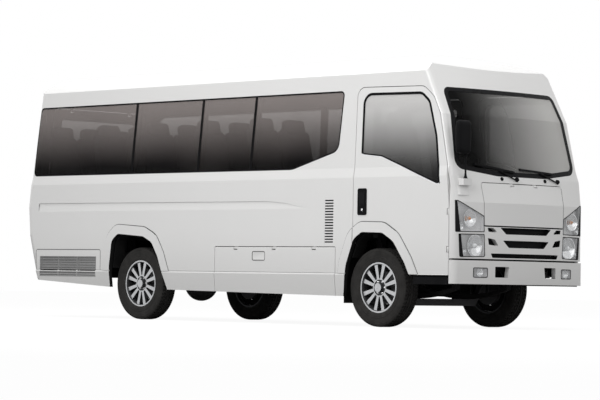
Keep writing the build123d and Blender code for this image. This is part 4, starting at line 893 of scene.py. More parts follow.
@dataclass
class BodyPanels(Assembly):
    """The painted shell: outer faces in paint, inner faces in lining or underseal."""

    painted: tuple[str, ...] = (
        "side_right", "side_left", "roof", "front_cap", "cab_front", "front_lid", "rear_wall", "hatch",
        "cab_door_right", "cab_door_left", "passenger_door", "service_flap", "grille", "front_bumper",
        "rear_bumper", "vent_panel",
    )
    coats: tuple[Finish, ...] = (PAINT, LINING, UNDERSEAL)
    core_reach: float = 2.3
    core_level: float = 1.5
    inward: float = -0.45
    sill_level: float = 0.92
    axles: Span = (-1.325, 2.075)
    arch_reach: float = 0.48
    arch_top: float = 0.90
    arch_centre: float = 0.45
    edge_on: float = 0.35

    def build(self) -> None:
        """Dresses every panel of the shell."""
        for node in self.painted:
            for polygon in self.shop.dress(node, *self.coats).polygons:
                coat = self._coat(polygon.center, polygon.normal)
                polygon.material_index = self.coats.index(coat)

    def _coat(self, centre: Vector, normal: Vector) -> Finish:
        """The finish of one face.

        Args:
            centre: the face's centre.
            normal: the way it looks.

        Returns:
            Lining towards the cabin, underseal below it and in the wheel arches, or paint.
        """
        core = Vector((max(-self.core_reach, min(self.core_reach, centre.x)), 0.0, self.core_level))
        if normal.dot((centre - core).normalized()) < self.inward:
            return LINING if centre.z > self.sill_level else UNDERSEAL
        return UNDERSEAL if self._in_arch(centre, normal) else PAINT

    def _in_arch(self, centre: Vector, normal: Vector) -> bool:
        """Says whether a face is the return of a wheel arch.

        Args:
            centre: the face's centre.
            normal: the way it looks.

        Returns:
            True if it looks towards the wheel.
        """
        for axle in self.axles:
            inwards = Vector((axle - centre.x, 0.0, self.arch_centre - centre.z)).normalized()
            near = abs(centre.x - axle) < self.arch_reach and centre.z < self.arch_top
            if near and abs(normal.y) < self.edge_on and normal.dot(inwards) > self.edge_on:
                return True
        return False


@dataclass
class Glazing(Assembly):
    """The panes, their rubber edges and the bright strips under the cab windows."""

    seal_lift: float = 0.0005
    seal_depth: float = 0.0024
    least_cosine: float = 0.35
    side_seal: float = 0.014
    door_seal: float = 0.024
    screen_seal: float = 0.045
    screen_way: Point = (1.0, 0.0, 0.3)
    rear_seal: float = 0.02
    rear_way: Point = (-1.0, 0.0, 0.1)
    strip_width: float = 0.011
    strip_lift: float = 0.0006

    def build(self) -> None:
        """Dresses the panes and adds their edges."""
        for side in Side:
            door, pane = f"cab_door_{side.word}", f"cab_door_glass_{side.word}"
            self._pane(f"side_glass_{side.word}", SIDE_GLASS, side.out, self.side_seal, RUBBER, "body")
            self._pane(pane, DOOR_GLASS, side.out, self.door_seal, RUBBER, door)
            self._strip(pane, side.out, door)
        self._pane(
            "passenger_door_glass", SIDE_GLASS, Side.LEFT.out, self.rear_seal, RUBBER, "passenger_door"
        )
        self._pane("windshield", SCREEN_GLASS, self.screen_way, self.screen_seal, FRIT, "body")
        self._pane("hatch_glass", SIDE_GLASS, self.rear_way, self.rear_seal, RUBBER, "hatch")

    def _band(self, node: str, way: Point, width: float) -> Mesh:
        """The outer rim of a pane's outer face.

        Args:
            node: the pane.
            way: the way the pane looks.
            width: the rim's width.

        Returns:
            The rim as a sheet.
        """
        mesh = self.shop.copy(node, facing(way, self.least_cosine))
        only(mesh, rim(mesh, width))
        return mesh

    def _raise(self, mesh: Mesh, way: Point, lift: float) -> None:
        """Lifts a sheet off its pane and gives it depth."""
        out = Vector(way).normalized()
        thickened(mesh, out * self.seal_depth, out * lift)

    def _pane(
        self, node: str, glass: Finish, way: Point, width: float, edging: Finish, body: str
    ) -> None:
        """Dresses one pane and adds its edge.

        Args:
            node: the pane.
            glass: its glass.
            way: the way the pane looks.
            width: the edge's width.
            edging: rubber or printed border.
            body: the body that the pane is on.
        """
        self.shop.dress(node, glass)
        mesh = self._band(node, way, width)
        self._raise(mesh, way, self.seal_lift)
        self.shop.piece(f"{node}_edge", mesh, edging, body, Slot.PLASTIC)

    def _strip(self, node: str, way: Point, body: str) -> None:
        """Adds the bright strip along a window's lower edge.

        Args:
            node: the pane.
            way: the way the pane looks.
            body: the door that carries it.
        """
        mesh = self._band(node, way, self.strip_width)
        level = middle_of(node).z
        lower = []
        for face in mesh.faces:
            border = [edge for edge in face.edges if edge.is_boundary]
            longest = max(border, key=lambda edge: edge.calc_length())
            run = longest.verts[0].co - longest.verts[1].co
            if abs(run.z) < abs(run.x) and face.calc_center_median().z <= level:
                lower.append(face)
        only(mesh, lower)
        self._raise(mesh, way, self.seal_lift + self.strip_lift)
        self.shop.piece(f"{node}_strip", mesh, BRIGHT, body, Slot.STEEL)


@dataclass
class Wheel(Assembly):
    """One wheel: a treaded tyre over the CAD rim, with its nuts."""

    corner: str
    side: Side
    rim_radius: float = 0.234
    groove_depth: float = 0.008
    groove_width: float = 0.009
    groove_foot: float = 0.7
    groove_places: tuple[float, ...] = (-0.048, -0.016, 0.016, 0.048)
    tread_half: float = 0.074
    shoulder_drop: float = 0.002
    sidewall: Profile = (
        (0.078, 0.0), (0.089, 0.018), (0.0885, 0.040), (0.0905, 0.043), (0.0905, 0.050), (0.0885, 0.053),
        (0.0920, 0.072), (0.0905, 0.098), (0.0925, 0.101), (0.0885, 0.116), (0.0820, 0.1255),
    )
    segments: int = 120
    sipe_margin: float = 0.0016
    sipe_depth: float = -0.006
    nut_count: int = 6
    nut_circle: float = 0.058
    nut_steps: int = 12
    nut: Profile = (
        (0.0, 0.011875), (0.002, 0.011875), (0.003, 0.0095), (0.0088, 0.0095), (0.011, 0.00665),
        (0.011, 0.004275), (0.0154, 0.0038), (0.0154, 0.0),
    )
    face_offset: float = 0.050
    rim_front: float = 0.4
    dish_radius: float = 0.076
    cap_radius: float = 0.043

    def build(self) -> None:
        """Builds the tyre and nuts and dresses the rim."""
        low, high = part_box(f"tyre_{self.corner}")
        centre = (low + high) / 2
        self._tyre(centre, (high.z - low.z) / 2)
        self._rim(centre)
        self._nuts(centre)

    def _profile(self, radius: float) -> Profile:
        """The tyre's outline from the inner bead to the outer one.

        Args:
            radius: the tyre's rolling radius.

        Returns:
            Points (offset along the axle, radius).
        """
        outer = [(across, self.rim_radius + rise) for across, rise in self.sidewall]
        inner = [(-across, at) for across, at in outer]
        half = self.groove_width / 2
        foot = half * self.groove_foot
        deep = radius - self.groove_depth
        tread = [(-self.tread_half, radius - self.shoulder_drop)]
        for place in self.groove_places:
            tread += [(place - half, radius), (place - foot, deep)]
            tread += [(place + foot, deep), (place + half, radius)]
        tread.append((self.tread_half, radius - self.shoulder_drop))
        return inner + tread + outer[::-1]

    def _tyre(self, centre: Vector, radius: float) -> None:
        """Spins the tyre and cuts sipes across its ribs.

        Args:
            centre: the wheel's centre.
            radius: the tyre's rolling radius.
        """
        mesh = bmesh.new()
        turned(mesh, self._profile(radius), self.segments, Matrix.Identity(4))
        bmesh.ops.recalc_face_normals(mesh, faces=mesh.faces[:])
        ribs = []
        for face in mesh.faces:
            middle = face.calc_center_median()
            reach = math.hypot(middle.y, middle.z)
            turn = int(math.atan2(middle.y, middle.z) / math.tau * self.segments + self.segments)
            if reach > radius - self.groove_depth / 2 and abs(middle.x) > self.groove_width and turn % 2:
                ribs.append(face)
        bmesh.ops.inset_individual(mesh, faces=ribs, thickness=self.sipe_margin, depth=self.sipe_depth)
        moved(mesh, mesh.verts, Matrix.Translation(centre) @ self.side.turn)
        made = self.shop.piece(
            f"tyre_tread_{self.corner}", mesh, TREAD_RUBBER, f"wheel_{self.corner}", Slot.TYRE,
            Smoothing.TREAD,
        )
        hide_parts(f"tyre_{self.corner}")

    def _rim(self, centre: Vector) -> None:
        """Machines the faces that look outwards and darkens the rest.

        Args:
            centre: the wheel's centre.
        """
        data = self.shop.dress(f"rim_{self.corner}", POCKET, MACHINED)
        middle = middle_of(f"rim_{self.corner}").y
        for polygon in data.polygons:
            corners = [data.vertices[index].co for index in polygon.vertices]
            reach = max(math.hypot(corner.x - centre.x, corner.z - centre.z) for corner in corners)
            dished = self.cap_radius < reach < self.dish_radius
            outwards = polygon.normal.y * self.side.value > self.rim_front
            if outwards and not dished and (polygon.center.y - middle) * self.side.value > 0:
                polygon.material_index = 1

    def _nuts(self, centre: Vector) -> None:
        """Adds the ring of wheel nuts.

        Args:
            centre: the wheel's centre.
        """
        mesh = bmesh.new()
        for number in range(self.nut_count):
            angle = math.tau * (number + 0.5) / self.nut_count
            ring = Vector((math.sin(angle), 0.0, math.cos(angle))) * self.nut_circle
            place = Matrix.Translation(centre + ring + self.side.out * self.face_offset)
            turned(mesh, self.nut, self.nut_steps, place @ self.side.turn)
        self.shop.piece(
            f"wheel_nuts_{self.corner}", mesh, BRIGHT, f"wheel_{self.corner}", Slot.ALLOY,
            Smoothing.TURNED,
        )


@dataclass
class FrontLamps(Assembly):
    """Headlamps and fog lamps: a clear cover over a tray with reflectors and bulbs."""

    lamps: tuple[str, ...] = ("headlamps", "fog_lamps")
    front_cosine: float = 0.15
    cover_depth: float = 0.003
    nose_tip: float = 3.165
    nose_sag: float = 0.100
    nose_half: float = 0.895
    bowls: tuple[tuple[str, float, float, float], ...] = (
        ("main", 0.640, 0.758, 0.094), ("low", 0.758, 0.700, 0.022), ("turn", 0.702, 1.003, 0.074),
        ("side", 0.800, 0.925, 0.032), ("fog", 0.588, 0.516, 0.036),
    )
    bowl_steps: int = 48
    bowl_rings: int = 8
    bowl_depth: float = 0.026
    bowl_lip: Profile = ((0.003, 1.02), (0.003, 1.06), (-0.004, 1.06))
    bowl_set_back: float = 0.008
    fog_set_back: float = 0.022
    bulb_share: float = 0.24
    bulb_steps: int = 24
    bulb_angles: range = range(-80, 91, 17)
    frame_width: float = 0.007
    frame_lift: float = 0.0006
    frame_depth: float = 0.0012
    strip_from: Point = (3.1, 0.790, 0.760)
    strip_way: Point = (0.0, 1.0, -0.146)

    def build(self) -> None:
        """Builds covers, trays, reflectors, frames and strips."""
        for node in self.lamps:
            self._cover(node)
        for side in Side:
            for bowl in self.bowls:
                self._bowl(side, *bowl)
        for node in self.lamps:
            mesh = self._front(node)
            only(mesh, rim(mesh, self.frame_width))
            self._border(f"{node}_frame", mesh)
        for side in Side:
            mesh = self._front("headlamps")
            sliced(mesh, side.mirrored(self.strip_from), side.mirrored(self.strip_way), inner=True)
            self._border(f"headlamp_strip_{side.word}", mesh)

    def _front(self, node: str) -> Mesh:
        """A copy of the front face of some lamps."""
        return self.shop.copy(node, facing(AHEAD, self.front_cosine))

    def _border(self, name: str, mesh: Mesh) -> None:
        """Makes a black border of a sheet that lies on a lamp."""
        thickened(mesh, AHEAD * self.frame_depth, AHEAD * self.frame_lift)
        self.shop.piece(name, mesh, FRIT, "body", Slot.PLASTIC)

    def _cover(self, node: str) -> None:
        """Splits some lamps into clear covers and trays.

        Args:
            node: the lamps' node.
        """
        cover = self._front(node)
        thickened(cover, -AHEAD * self.cover_depth)
        made = self.shop.piece(f"{node}_cover", cover, COVER, "body", Slot.CLEAR)
        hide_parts(node)
        in_front = facing(AHEAD, self.front_cosine)
        tray = self.shop.copy(node, lambda face: not in_front(face))
        self.shop.piece(f"{node}_tray", tray, LAMP_TRAY, "body", Slot.CLEAR)

    def _bowl(self, side: Side, word: str, across: float, level: float, radius: float) -> None:
        """Adds one reflector bowl and its bulb.

        Args:
            side: the side of the bus.
            word: the bowl's name.
            across: its distance from the middle of the bus.
            level: its height over the road.
            radius: its radius.
        """
        front = self.nose_tip - self.nose_sag * (across / self.nose_half) ** 2 - self.bowl_set_back
        if word == "fog":
            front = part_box("fog_lamps")[1].x - self.fog_set_back
        place = Matrix.Translation(side.mirrored((front, across, level)))
        rings = [step / self.bowl_rings for step in range(1, self.bowl_rings + 1)]
        profile = [(self.bowl_depth * (ring**2 - 1.0), radius * max(ring, self.bulb_share)) for ring in rings]
        profile += [(along, radius * share) for along, share in self.bowl_lip]
        bowl = bmesh.new()
        turned(bowl, profile, self.bowl_steps, place)
        name = f"{word}_{side.word}"
        self.shop.piece(f"reflector_{name}", bowl, REFLECTOR, "body", Slot.CLEAR, Smoothing.TURNED)
        ball = radius * self.bulb_share
        turns = [math.radians(angle) for angle in self.bulb_angles]
        arc = [(ball * (1.0 + math.sin(turn)) - self.bowl_depth, ball * math.cos(turn)) for turn in turns]
        arc[-1] = (arc[-1][0], 0.0)
        bulb = bmesh.new()
        turned(bulb, arc, self.bulb_steps, place)
        finish = AMBER if word == "turn" else LENS
        self.shop.piece(f"bulb_{name}", bulb, finish, "body", Slot.CLEAR, Smoothing.TURNED)


@dataclass
class DoorHandle(Assembly):
    """A door handle: a framed plate with a lifting paddle and a lock."""

    node: str
    body: str
    side: Side
    plate_round: float = 0.018
    plate_steps: int = 6
    frame_width: float = 0.012
    recess_slope: float = 0.002
    recess: float = 0.0025
    paddle_share: Span = (0.62, 0.5)
    paddle_depth: float = 0.005
    paddle_round: float = 0.0024
    paddle_cuts: int = 8
    paddle_rise: float = 0.1
    lock: Profile = ((-0.004, 0.011), (0.0, 0.011), (0.001, 0.0088), (0.0, 0.0077), (0.0, 0.0))
    lock_steps: int = 24
    lock_sink: float = 0.002
    lock_rise: float = -0.3

    def build(self) -> None:
        """Builds the plate, the paddle and the lock in the CAD handle's box."""
        low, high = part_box(self.node)
        size = high - low
        self._plate(size)
        wide, tall = self.paddle_share
        paddle = bmesh.new()
        block = (size.x * wide, self.paddle_depth, size.z * tall)
        verts = rounded_block(paddle, block, self.paddle_round, self.paddle_cuts)
        moved(paddle, verts, self._spot(size, self.paddle_depth / 2, self.paddle_rise))
        self.shop.piece(
            f"{self.node}_paddle", paddle, FRIT, self.body, Slot.PLASTIC, Smoothing.TURNED
        )
        lock = bmesh.new()
        place = self._spot(size, self.lock_sink, self.lock_rise) @ self.side.turn
        turned(lock, self.lock, self.lock_steps, place)
        self.shop.piece(f"{self.node}_lock", lock, BRIGHT, self.body, Slot.STEEL, Smoothing.TURNED)

    def _spot(self, size: Vector, sink: float, rise: float) -> Matrix:
        """A place at the handle's outer face.

        Args:
            size: the handle's lengths.
            sink: how far it lies below the face.
            rise: its height over the middle, as a share of the handle's height.

        Returns:
            The move there from the origin.
        """
        shift = self.side.out * (size.y / 2 - sink) + Vector((0.0, 0.0, size.z * rise))
        return Matrix.Translation(middle_of(self.node) + shift)

    def _plate(self, size: Vector) -> None:
        """Adds the framed plate.

        Args:
            size: the handle's lengths.
        """
        lengths = (size.x, size.y - self.paddle_depth / 2, size.z)
        mesh = plate(lengths, 1, self.plate_round, self.plate_steps)
        front = max(mesh.faces, key=lambda face: face.calc_center_median().y * self.side.value)
        bmesh.ops.inset_individual(mesh, faces=[front], thickness=self.frame_width, depth=0.0)
        bmesh.ops.inset_individual(mesh, faces=[front], thickness=self.recess_slope, depth=-self.recess)
        shift = middle_of(self.node) - self.side.out * self.paddle_depth / 4
        bmesh.ops.translate(mesh, verts=mesh.verts[:], vec=shift)
        made = self.shop.piece(f"{self.node}_plate", mesh, PLASTIC, self.body, Slot.PLASTIC)
        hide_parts(self.node)


@dataclass
class Seats(Assembly):
    """The seats as stuffed pads on pedestals, one set for every CAD seat."""

    seat_front: float = 0.480
    seat_rear: float = -0.02
    seat_top: float = 0.405
    seat_thick: float = 0.125
    seat_round: float = 0.04
    back_foot: Span = (-0.02, 0.36)
    back_head: Span = (-0.165, 0.985)
    back_thick: float = 0.115
    back_round: float = 0.045
    back_share: float = 0.98
    head_size: Point = (0.105, 0.26, 0.15)
    head_place: Span = (-0.163, 1.015)
    head_round: float = 0.04
    head_cuts: int = 7
    head_tilt: float = -14.0
    pedestal: Point = (0.24, 0.36, 0.29)
    pedestal_place: float = 0.19
    pedestal_taper: Point = (0.8, 0.9, 1.0)
    pedestal_round: float = 0.015
    pad_cuts: int = 13
    crown: float = 0.018
    seam_depth: float = 0.007
    seam_width: float = 0.05
    seam_places: Span = (-0.56, 0.56)
    softening: float = 0.3
    fill: float = 0.85

    def build(self) -> None:
        """Builds the pads and pedestals of every seat."""
        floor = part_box("seats")[0].z
        lumps = self.shop.copy("seats", lambda face: True)
        spots = []
        for lump in islands(lumps):
            ahead = max(vert.co.x for vert in lump)
            sides = [vert.co.y for vert in lump]
            spots.append((ahead - self.seat_front, (min(sides) + max(sides)) / 2, max(sides) - min(sides)))
        lumps.free()
        pads = {name: bmesh.new() for name in ("seat_cushions", "seat_backs", "head_rests")}
        stands = bmesh.new()
        for hip, across, width in sorted(spots):
            base = Vector((hip, across, floor))
            self._cushion(pads["seat_cushions"], base, width)
            self._back(pads["seat_backs"], base, width)
            self._head(pads["head_rests"], base)
            self._stand(stands, base)
        for name, mesh in pads.items():
            made = self.shop.piece(name, mesh, CLOTH, "body", Slot.FABRIC, Smoothing.CLOTH)
            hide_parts("seats")
        self.shop.piece("seat_stands", stands, PLASTIC, "body", Slot.PLASTIC)

    def _pad(self, mesh: Mesh, size: Point, radius: float) -> list[Vert]:
        """Adds a crowned pad, its soft face upwards, sewn along its seams.

        Args:
            mesh: the mesh to add to.
            size: length, width and thickness.
            radius: the radius of its edges.

        Returns:
            The pad's vertices.
        """
        verts = rounded_block(mesh, size, radius, self.pad_cuts)
        for vert in verts:
            along = 2 * vert.co.x / size[0]
            across = 2 * vert.co.y / size[1]
            if vert.co.z > 0:
                dome = max(0.0, (1 - along * along) * (1 - across * across))
                sewn = sum(math.exp(-(((across - seam) / self.seam_width) ** 2)) for seam in self.seam_places)
                vert.co.z += self.crown * (dome - 1.0) - self.seam_depth * sewn
        bmesh.ops.smooth_vert(
            mesh, verts=verts, factor=self.softening, use_axis_x=True, use_axis_y=True, use_axis_z=True
        )
        return verts

    def _cushion(self, mesh: Mesh, base: Vector, width: float) -> None:
        """Adds one seat cushion.

        Args:
            mesh: the mesh to add to.
            base: the seat's place on the floor.
            width: the seat's width.
        """
        length = self.seat_front - self.seat_rear
        verts = self._pad(mesh, (length, width, self.seat_thick), self.seat_round)
        middle = (self.seat_front + self.seat_rear) / 2
        place = base + Vector((middle, 0.0, self.seat_top - self.seat_thick / 2))
        moved(mesh, verts, Matrix.Translation(place))

    def _back(self, mesh: Mesh, base: Vector, width: float) -> None:
        """Adds one leaning seat back.

        Args:
            mesh: the mesh to add to.
            base: the seat's place on the floor.
            width: the seat's width.
        """
        foot, head = Vector(self.back_foot), Vector(self.back_head)
        run = head - foot
        middle = (foot + head) / 2
        verts = self._pad(mesh, (run.length, width * self.back_share, self.back_thick), self.back_round)
        lean = Matrix.Rotation(-math.atan2(run.y, run.x), 4, "Y") @ Matrix.Rotation(math.pi, 4, "X")
        moved(mesh, verts, Matrix.Translation(base + Vector((middle.x, 0.0, middle.y))) @ lean)

    def _head(self, mesh: Mesh, base: Vector) -> None:
        """Adds one head rest.

        Args:
            mesh: the mesh to add to.
            base: the seat's place on the floor.
        """
        verts = rounded_block(mesh, self.head_size, self.head_round, self.head_cuts)
        ahead, level = self.head_place
        place = Matrix.Translation(base + Vector((ahead, 0.0, level)))
        moved(mesh, verts, place @ Matrix.Rotation(math.radians(self.head_tilt), 4, "Y"))

    def _stand(self, mesh: Mesh, base: Vector) -> None:
        """Adds one pedestal, narrower at its head.

        Args:
            mesh: the mesh to add to.
            base: the seat's place on the floor.
        """
        verts = raw_block(mesh, self.pedestal)
        bmesh.ops.scale(mesh, vec=self.pedestal_taper, verts=[vert for vert in verts if vert.co.z > 0])
        shift = base + Vector((self.pedestal_place, 0.0, self.pedestal[2] / 2))
        bmesh.ops.translate(mesh, verts=verts, vec=shift)
        bevelled(mesh, edges_of(verts), self.pedestal_round, 3)


@dataclass
class FrontTrim(Assembly):
    """Small black trim on the nose and the flap's latch."""

    jet_places: Span = (-0.28, 0.315)
    jet: Profile = ((-0.006, 0.018), (0.004, 0.018), (0.009, 0.0144), (0.012, 0.0072), (0.011, 0.0))
    cap_places: Span = (-0.085, 0.505)
    cap: Profile = (
        (-0.006, 0.0228), (0.003, 0.0228), (0.005, 0.019), (0.0168, 0.01748), (0.021, 0.0114), (0.021, 0.0),
    )
    knob_steps: int = 24
    trim_level: float = 1.374
    skin_reach: float = 3.1035
    skin_sag: float = 0.0715
    nose_half: float = 0.895
    skin_tilt: float = -15.5
    latch_low: Span = (0.416, 0.605)
    latch_high: Span = (0.601, 0.697)
    latch_face: float = 0.895
    latch_depth: float = 0.003
    latch_sunk: float = 0.0005
    latch_round: float = 0.02
    latch_steps: int = 6
    groove_width: float = 0.008
    groove_depth: float = -0.002

    def build(self) -> None:
        """Builds the jets, the wipers' caps and the latch."""
        self._knobs("washer_jets", self.jet_places, self.jet)
        self._knobs("wiper_caps", self.cap_places, self.cap)
        self._latch()

    def _knobs(self, name: str, places: Span, profile: Profile) -> None:
        """Adds a row of turned knobs on the skin below the windscreen.

        Args:
            name: the piece's name.
            places: where they stand across the bus.
            profile: their outline from the skin outwards.
        """
        mesh = bmesh.new()
        tilt = Matrix.Rotation(math.radians(self.skin_tilt), 4, "Y")
        for across in places:
            front = self.skin_reach - self.skin_sag * (across / self.nose_half) ** 2
            place = Matrix.Translation((front, across, self.trim_level))
            turned(mesh, profile, self.knob_steps, place @ tilt)
        self.shop.piece(name, mesh, PLASTIC, "body", Slot.PLASTIC, Smoothing.TURNED)

    def _latch(self) -> None:
        """Adds the latch plate of the service flap with the dark groove inside its edge."""
        (x0, z0), (x1, z1) = self.latch_low, self.latch_high
        mesh = plate((x1 - x0, self.latch_depth, z1 - z0), 1, self.latch_round, self.latch_steps)
        front = min(mesh.faces, key=lambda face: face.calc_center_median().y)
        groove = bmesh.ops.inset_individual(
            mesh, faces=[front], thickness=self.groove_width, depth=self.groove_depth
        )["faces"]
        for face in groove:
            face.material_index = 1
        out = self.latch_face + self.latch_depth / 2 - self.latch_sunk
        bmesh.ops.translate(mesh, verts=mesh.verts[:], vec=((x0 + x1) / 2, -out, (z0 + z1) / 2))
        made = self.shop.piece("flap_latch", mesh, PAINT, "service_flap", Slot.PAINT)
        made.data.materials.append(SEAM_AND_SHADE.material())


@dataclass
class Mirror(Assembly):
    """The outside mirror: a moulded head with its glass, a stem with collars, a foot and a fairing."""

    node: str = "mirror_right"
    head_middle: Span = (3.085, -0.79)
    head_low: float = 1.585
    head_round: float = 0.031
    head_cuts: int = 11
    foot_taper: float = 0.16
    crown_taper: float = 0.06
    glass_margin: float = 0.014
    glass_thick: float = 0.004
    glass_round: float = 0.03
    glass_steps: int = 8
    glass_edge: float = 0.003
    glass_rise: float = 0.0008
    stem_offset: float = 0.035
    stem_foot: Profile = ((-0.02, 0.0216), (0.002, 0.0216), (0.008, 0.0171), (0.03, 0.0108), (0.05, 0.009))
    stem_head: Profile = ((-0.03, 0.009), (-0.024, 0.0144), (0.004, 0.0162), (0.02, 0.0162))
    stem_steps: int = 24
    foot_top: float = 1.3605
    fairing_way: Point = (1.0, -0.6, 0.2)
    fairing_cosine: float = 0.45
    fairing_low: Point = (2.9, -0.835, 1.212)
    fairing_high: Point = (3.2, -0.705, 1.296)
    fairing_levels: tuple[float, ...] = (0.25, 0.5, 0.75)
    fairing_lift: Point = (0.012, -0.009, 0.0)
    fairing_base: float = 0.08
    fairing_end: float = 0.1
    fairing_end_rise: float = 6.0

    def build(self) -> None:
        """Builds the mirror and the fairing below it."""
        low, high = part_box(self.node)
        middle = Vector((*self.head_middle, (self.head_low + high.z) / 2))
        size = (2 * (high.x - self.head_middle[0]), 2 * (middle.y - low.y), high.z - self.head_low)
        self._head(middle, size)
        self._glass(middle, size)
        self._stem(middle)
        foot = self.shop.copy(self.node, lambda face: max(vert.co.z for vert in face.verts) < self.foot_top)
        self.shop.piece(f"{self.node}_foot", foot, PAINT, "body", Slot.PAINT)
        self._fairing()

    def _head(self, middle: Vector, size: Point) -> None:
        """Adds the head, which narrows to its foot and its crown.

        Args:
            middle: the head's centre.
            size: the head's lengths.
        """
        mesh = bmesh.new()
        verts = rounded_block(mesh, size, self.head_round, self.head_cuts)
        for vert in verts:
            share = vert.co.z / size[2]
            vert.co.y *= 1.0 - self.foot_taper * max(0.0, -share) - self.crown_taper * max(0.0, share)
        moved(mesh, verts, Matrix.Translation(middle))
        made = self.shop.piece(
            f"{self.node}_head", mesh, PLASTIC, "body", Slot.PLASTIC, Smoothing.MOULDED
        )
        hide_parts(self.node)

    def _glass(self, middle: Vector, size: Point) -> None:
        """Adds the glass on the head's rear face.

        Args:
            middle: the head's centre.
            size: the head's lengths.
        """
        wide, tall = (length - 2 * self.head_round - self.glass_margin for length in size[1:])
        mesh = plate((self.glass_thick, wide, tall), 0, self.glass_round, self.glass_steps)
        back = min(mesh.faces, key=lambda face: face.calc_center_median().x)
        bmesh.ops.inset_individual(mesh, faces=[back], thickness=self.glass_edge, depth=self.glass_rise)
        bmesh.ops.translate(mesh, verts=mesh.verts[:], vec=middle - AHEAD * size[0] / 2)
        self.shop.piece(f"{self.node}_glass", mesh, REFLECTOR, "body", Slot.STEEL)

    def _stem(self, middle: Vector) -> None:
        """Adds the stem from the foot up into the head, with a collar at each end.

        Args:
            middle: the head's centre.
        """
        mesh = bmesh.new()
        length = self.head_low - self.foot_top
        profile = (*self.stem_foot, *((length + along, radius) for along, radius in self.stem_head))
        place = Matrix.Translation((middle.x, middle.y + self.stem_offset, self.foot_top))
        upright = Matrix.Rotation(math.radians(-90.0), 4, "Y")
        turned(mesh, profile, self.stem_steps, place @ upright)
        self.shop.piece(f"{self.node}_stem", mesh, PLASTIC, "body", Slot.PLASTIC, Smoothing.TURNED)

    def _fairing(self) -> None:
        """Adds the painted fairing below the foot, cut from the skin and lifted at its lower edge."""
        mesh = self.shop.copy("cab_front", facing(self.fairing_way, self.fairing_cosine))
        low, high = Vector(self.fairing_low), Vector(self.fairing_high)
        for way in Matrix.Identity(3):
            sliced(mesh, low, way, inner=True)
            sliced(mesh, high, way, outer=True)
        for level in self.fairing_levels:
            sliced(mesh, low.lerp(high, level), (0.0, 0.0, 1.0))
        for vert in thickened(mesh, (0.0, 0.0, 0.0)):
            share = 1.0 - (vert.co.z - low.z) / (high.z - low.z)
            ends = min(vert.co.y - low.y, high.y - vert.co.y) / (high.y - low.y)
            swell = share * min(1.0, self.fairing_end_rise * ends + self.fairing_end)
            vert.co += Vector(self.fairing_lift) * (self.fairing_base + swell)
        self.shop.piece(f"{self.node}_fairing", mesh, PAINT, "body", Slot.PAINT)


@dataclass
class Vents(Assembly):
    """Black slats in the upright louvre and fine slats over the low grille at the tail."""

    louvre: Span = (1.4195, 1.5325)
    louvre_low: float = 0.785
    louvre_pitch: float = 0.026
    louvre_count: int = 16
    louvre_slot: float = 0.0128
    louvre_face: float = 0.8925
    louvre_depth: float = 0.02
    louvre_edge: float = 0.002
    grille: Span = (-2.893, -1.961)
    grille_bands: tuple[Span, ...] = ((0.502, 0.632), (0.428, 0.474))
    grille_pitch: float = 0.0092
    grille_slat: float = 0.0076
    grille_depth: float = 0.0035
    grille_edge: float = 0.0012
    band_lean: Span = (0.0, -0.105)
    band_face: Span = (0.8965, 0.9026)

    def build(self) -> None:
        """Builds both sets of slats."""
        mesh = bmesh.new()
        rear, front = self.louvre
        size = (front - rear, self.louvre_depth, self.louvre_slot)
        for row in range(self.louvre_count):
            level = self.louvre_low + self.louvre_pitch * row
            place = ((rear + front) / 2, self.louvre_depth / 2 - self.louvre_face, level)
            slat(mesh, size, place, self.louvre_edge)
        self.shop.piece("louvre_slats", mesh, RUBBER, "body", Slot.PLASTIC)
        mesh = bmesh.new()
        rear, front = self.grille
        size = (front - rear, self.grille_depth, self.grille_slat)
        for (level, top), lean, face in zip(self.grille_bands, self.band_lean, self.band_face):
            while level <= top:
                out = face + lean * (top - level)
                slat(mesh, size, ((rear + front) / 2, self.grille_depth / 2 - out, level), self.grille_edge)
                level += self.grille_pitch
        self.shop.piece("tail_grille_slats", mesh, GRILLE_GREY, "body", Slot.PLASTIC)


@dataclass
class WindowPosts(Assembly):
    """The dark posts of the side walls that stand behind the joints of the glass."""

    stations: tuple[float, ...] = (-1.443, -0.427, 0.347)
    slant: float = 0.055
    low: float = 1.452
    high: float = 2.228
    foot_out: float = 0.866
    lean: float = 0.039
    wide: float = 0.088
    deep: float = 0.034
    edge: float = 0.008

    def build(self) -> None:
        """Builds the posts of both sides."""
        for side in Side:
            mesh = bmesh.new()
            for station in self.stations:
                self._post(mesh, station, side)
            self.shop.piece(f"window_posts_{side.word}", mesh, RUBBER, "body", Slot.PLASTIC)

    def _post(self, mesh: Mesh, station: float, side: Side) -> None:
        """Adds one leaning post with round edges.

        Args:
            mesh: the mesh to add to.
            station: where the joint's foot is.
            side: the side of the bus.
        """
        tall = self.high - self.low
        verts = raw_block(mesh, (self.wide, self.deep, tall))
        place = side.mirrored((station, self.foot_out - self.deep / 2, (self.low + self.high) / 2))
        bmesh.ops.translate(mesh, verts=verts, vec=place)
        for vert in verts:
            rise = (vert.co.z - self.low) / tall
            vert.co += side.mirrored((self.slant * rise, -self.lean * tall * rise, 0.0))
        bevelled(mesh, edges_of(verts), self.edge, 3)


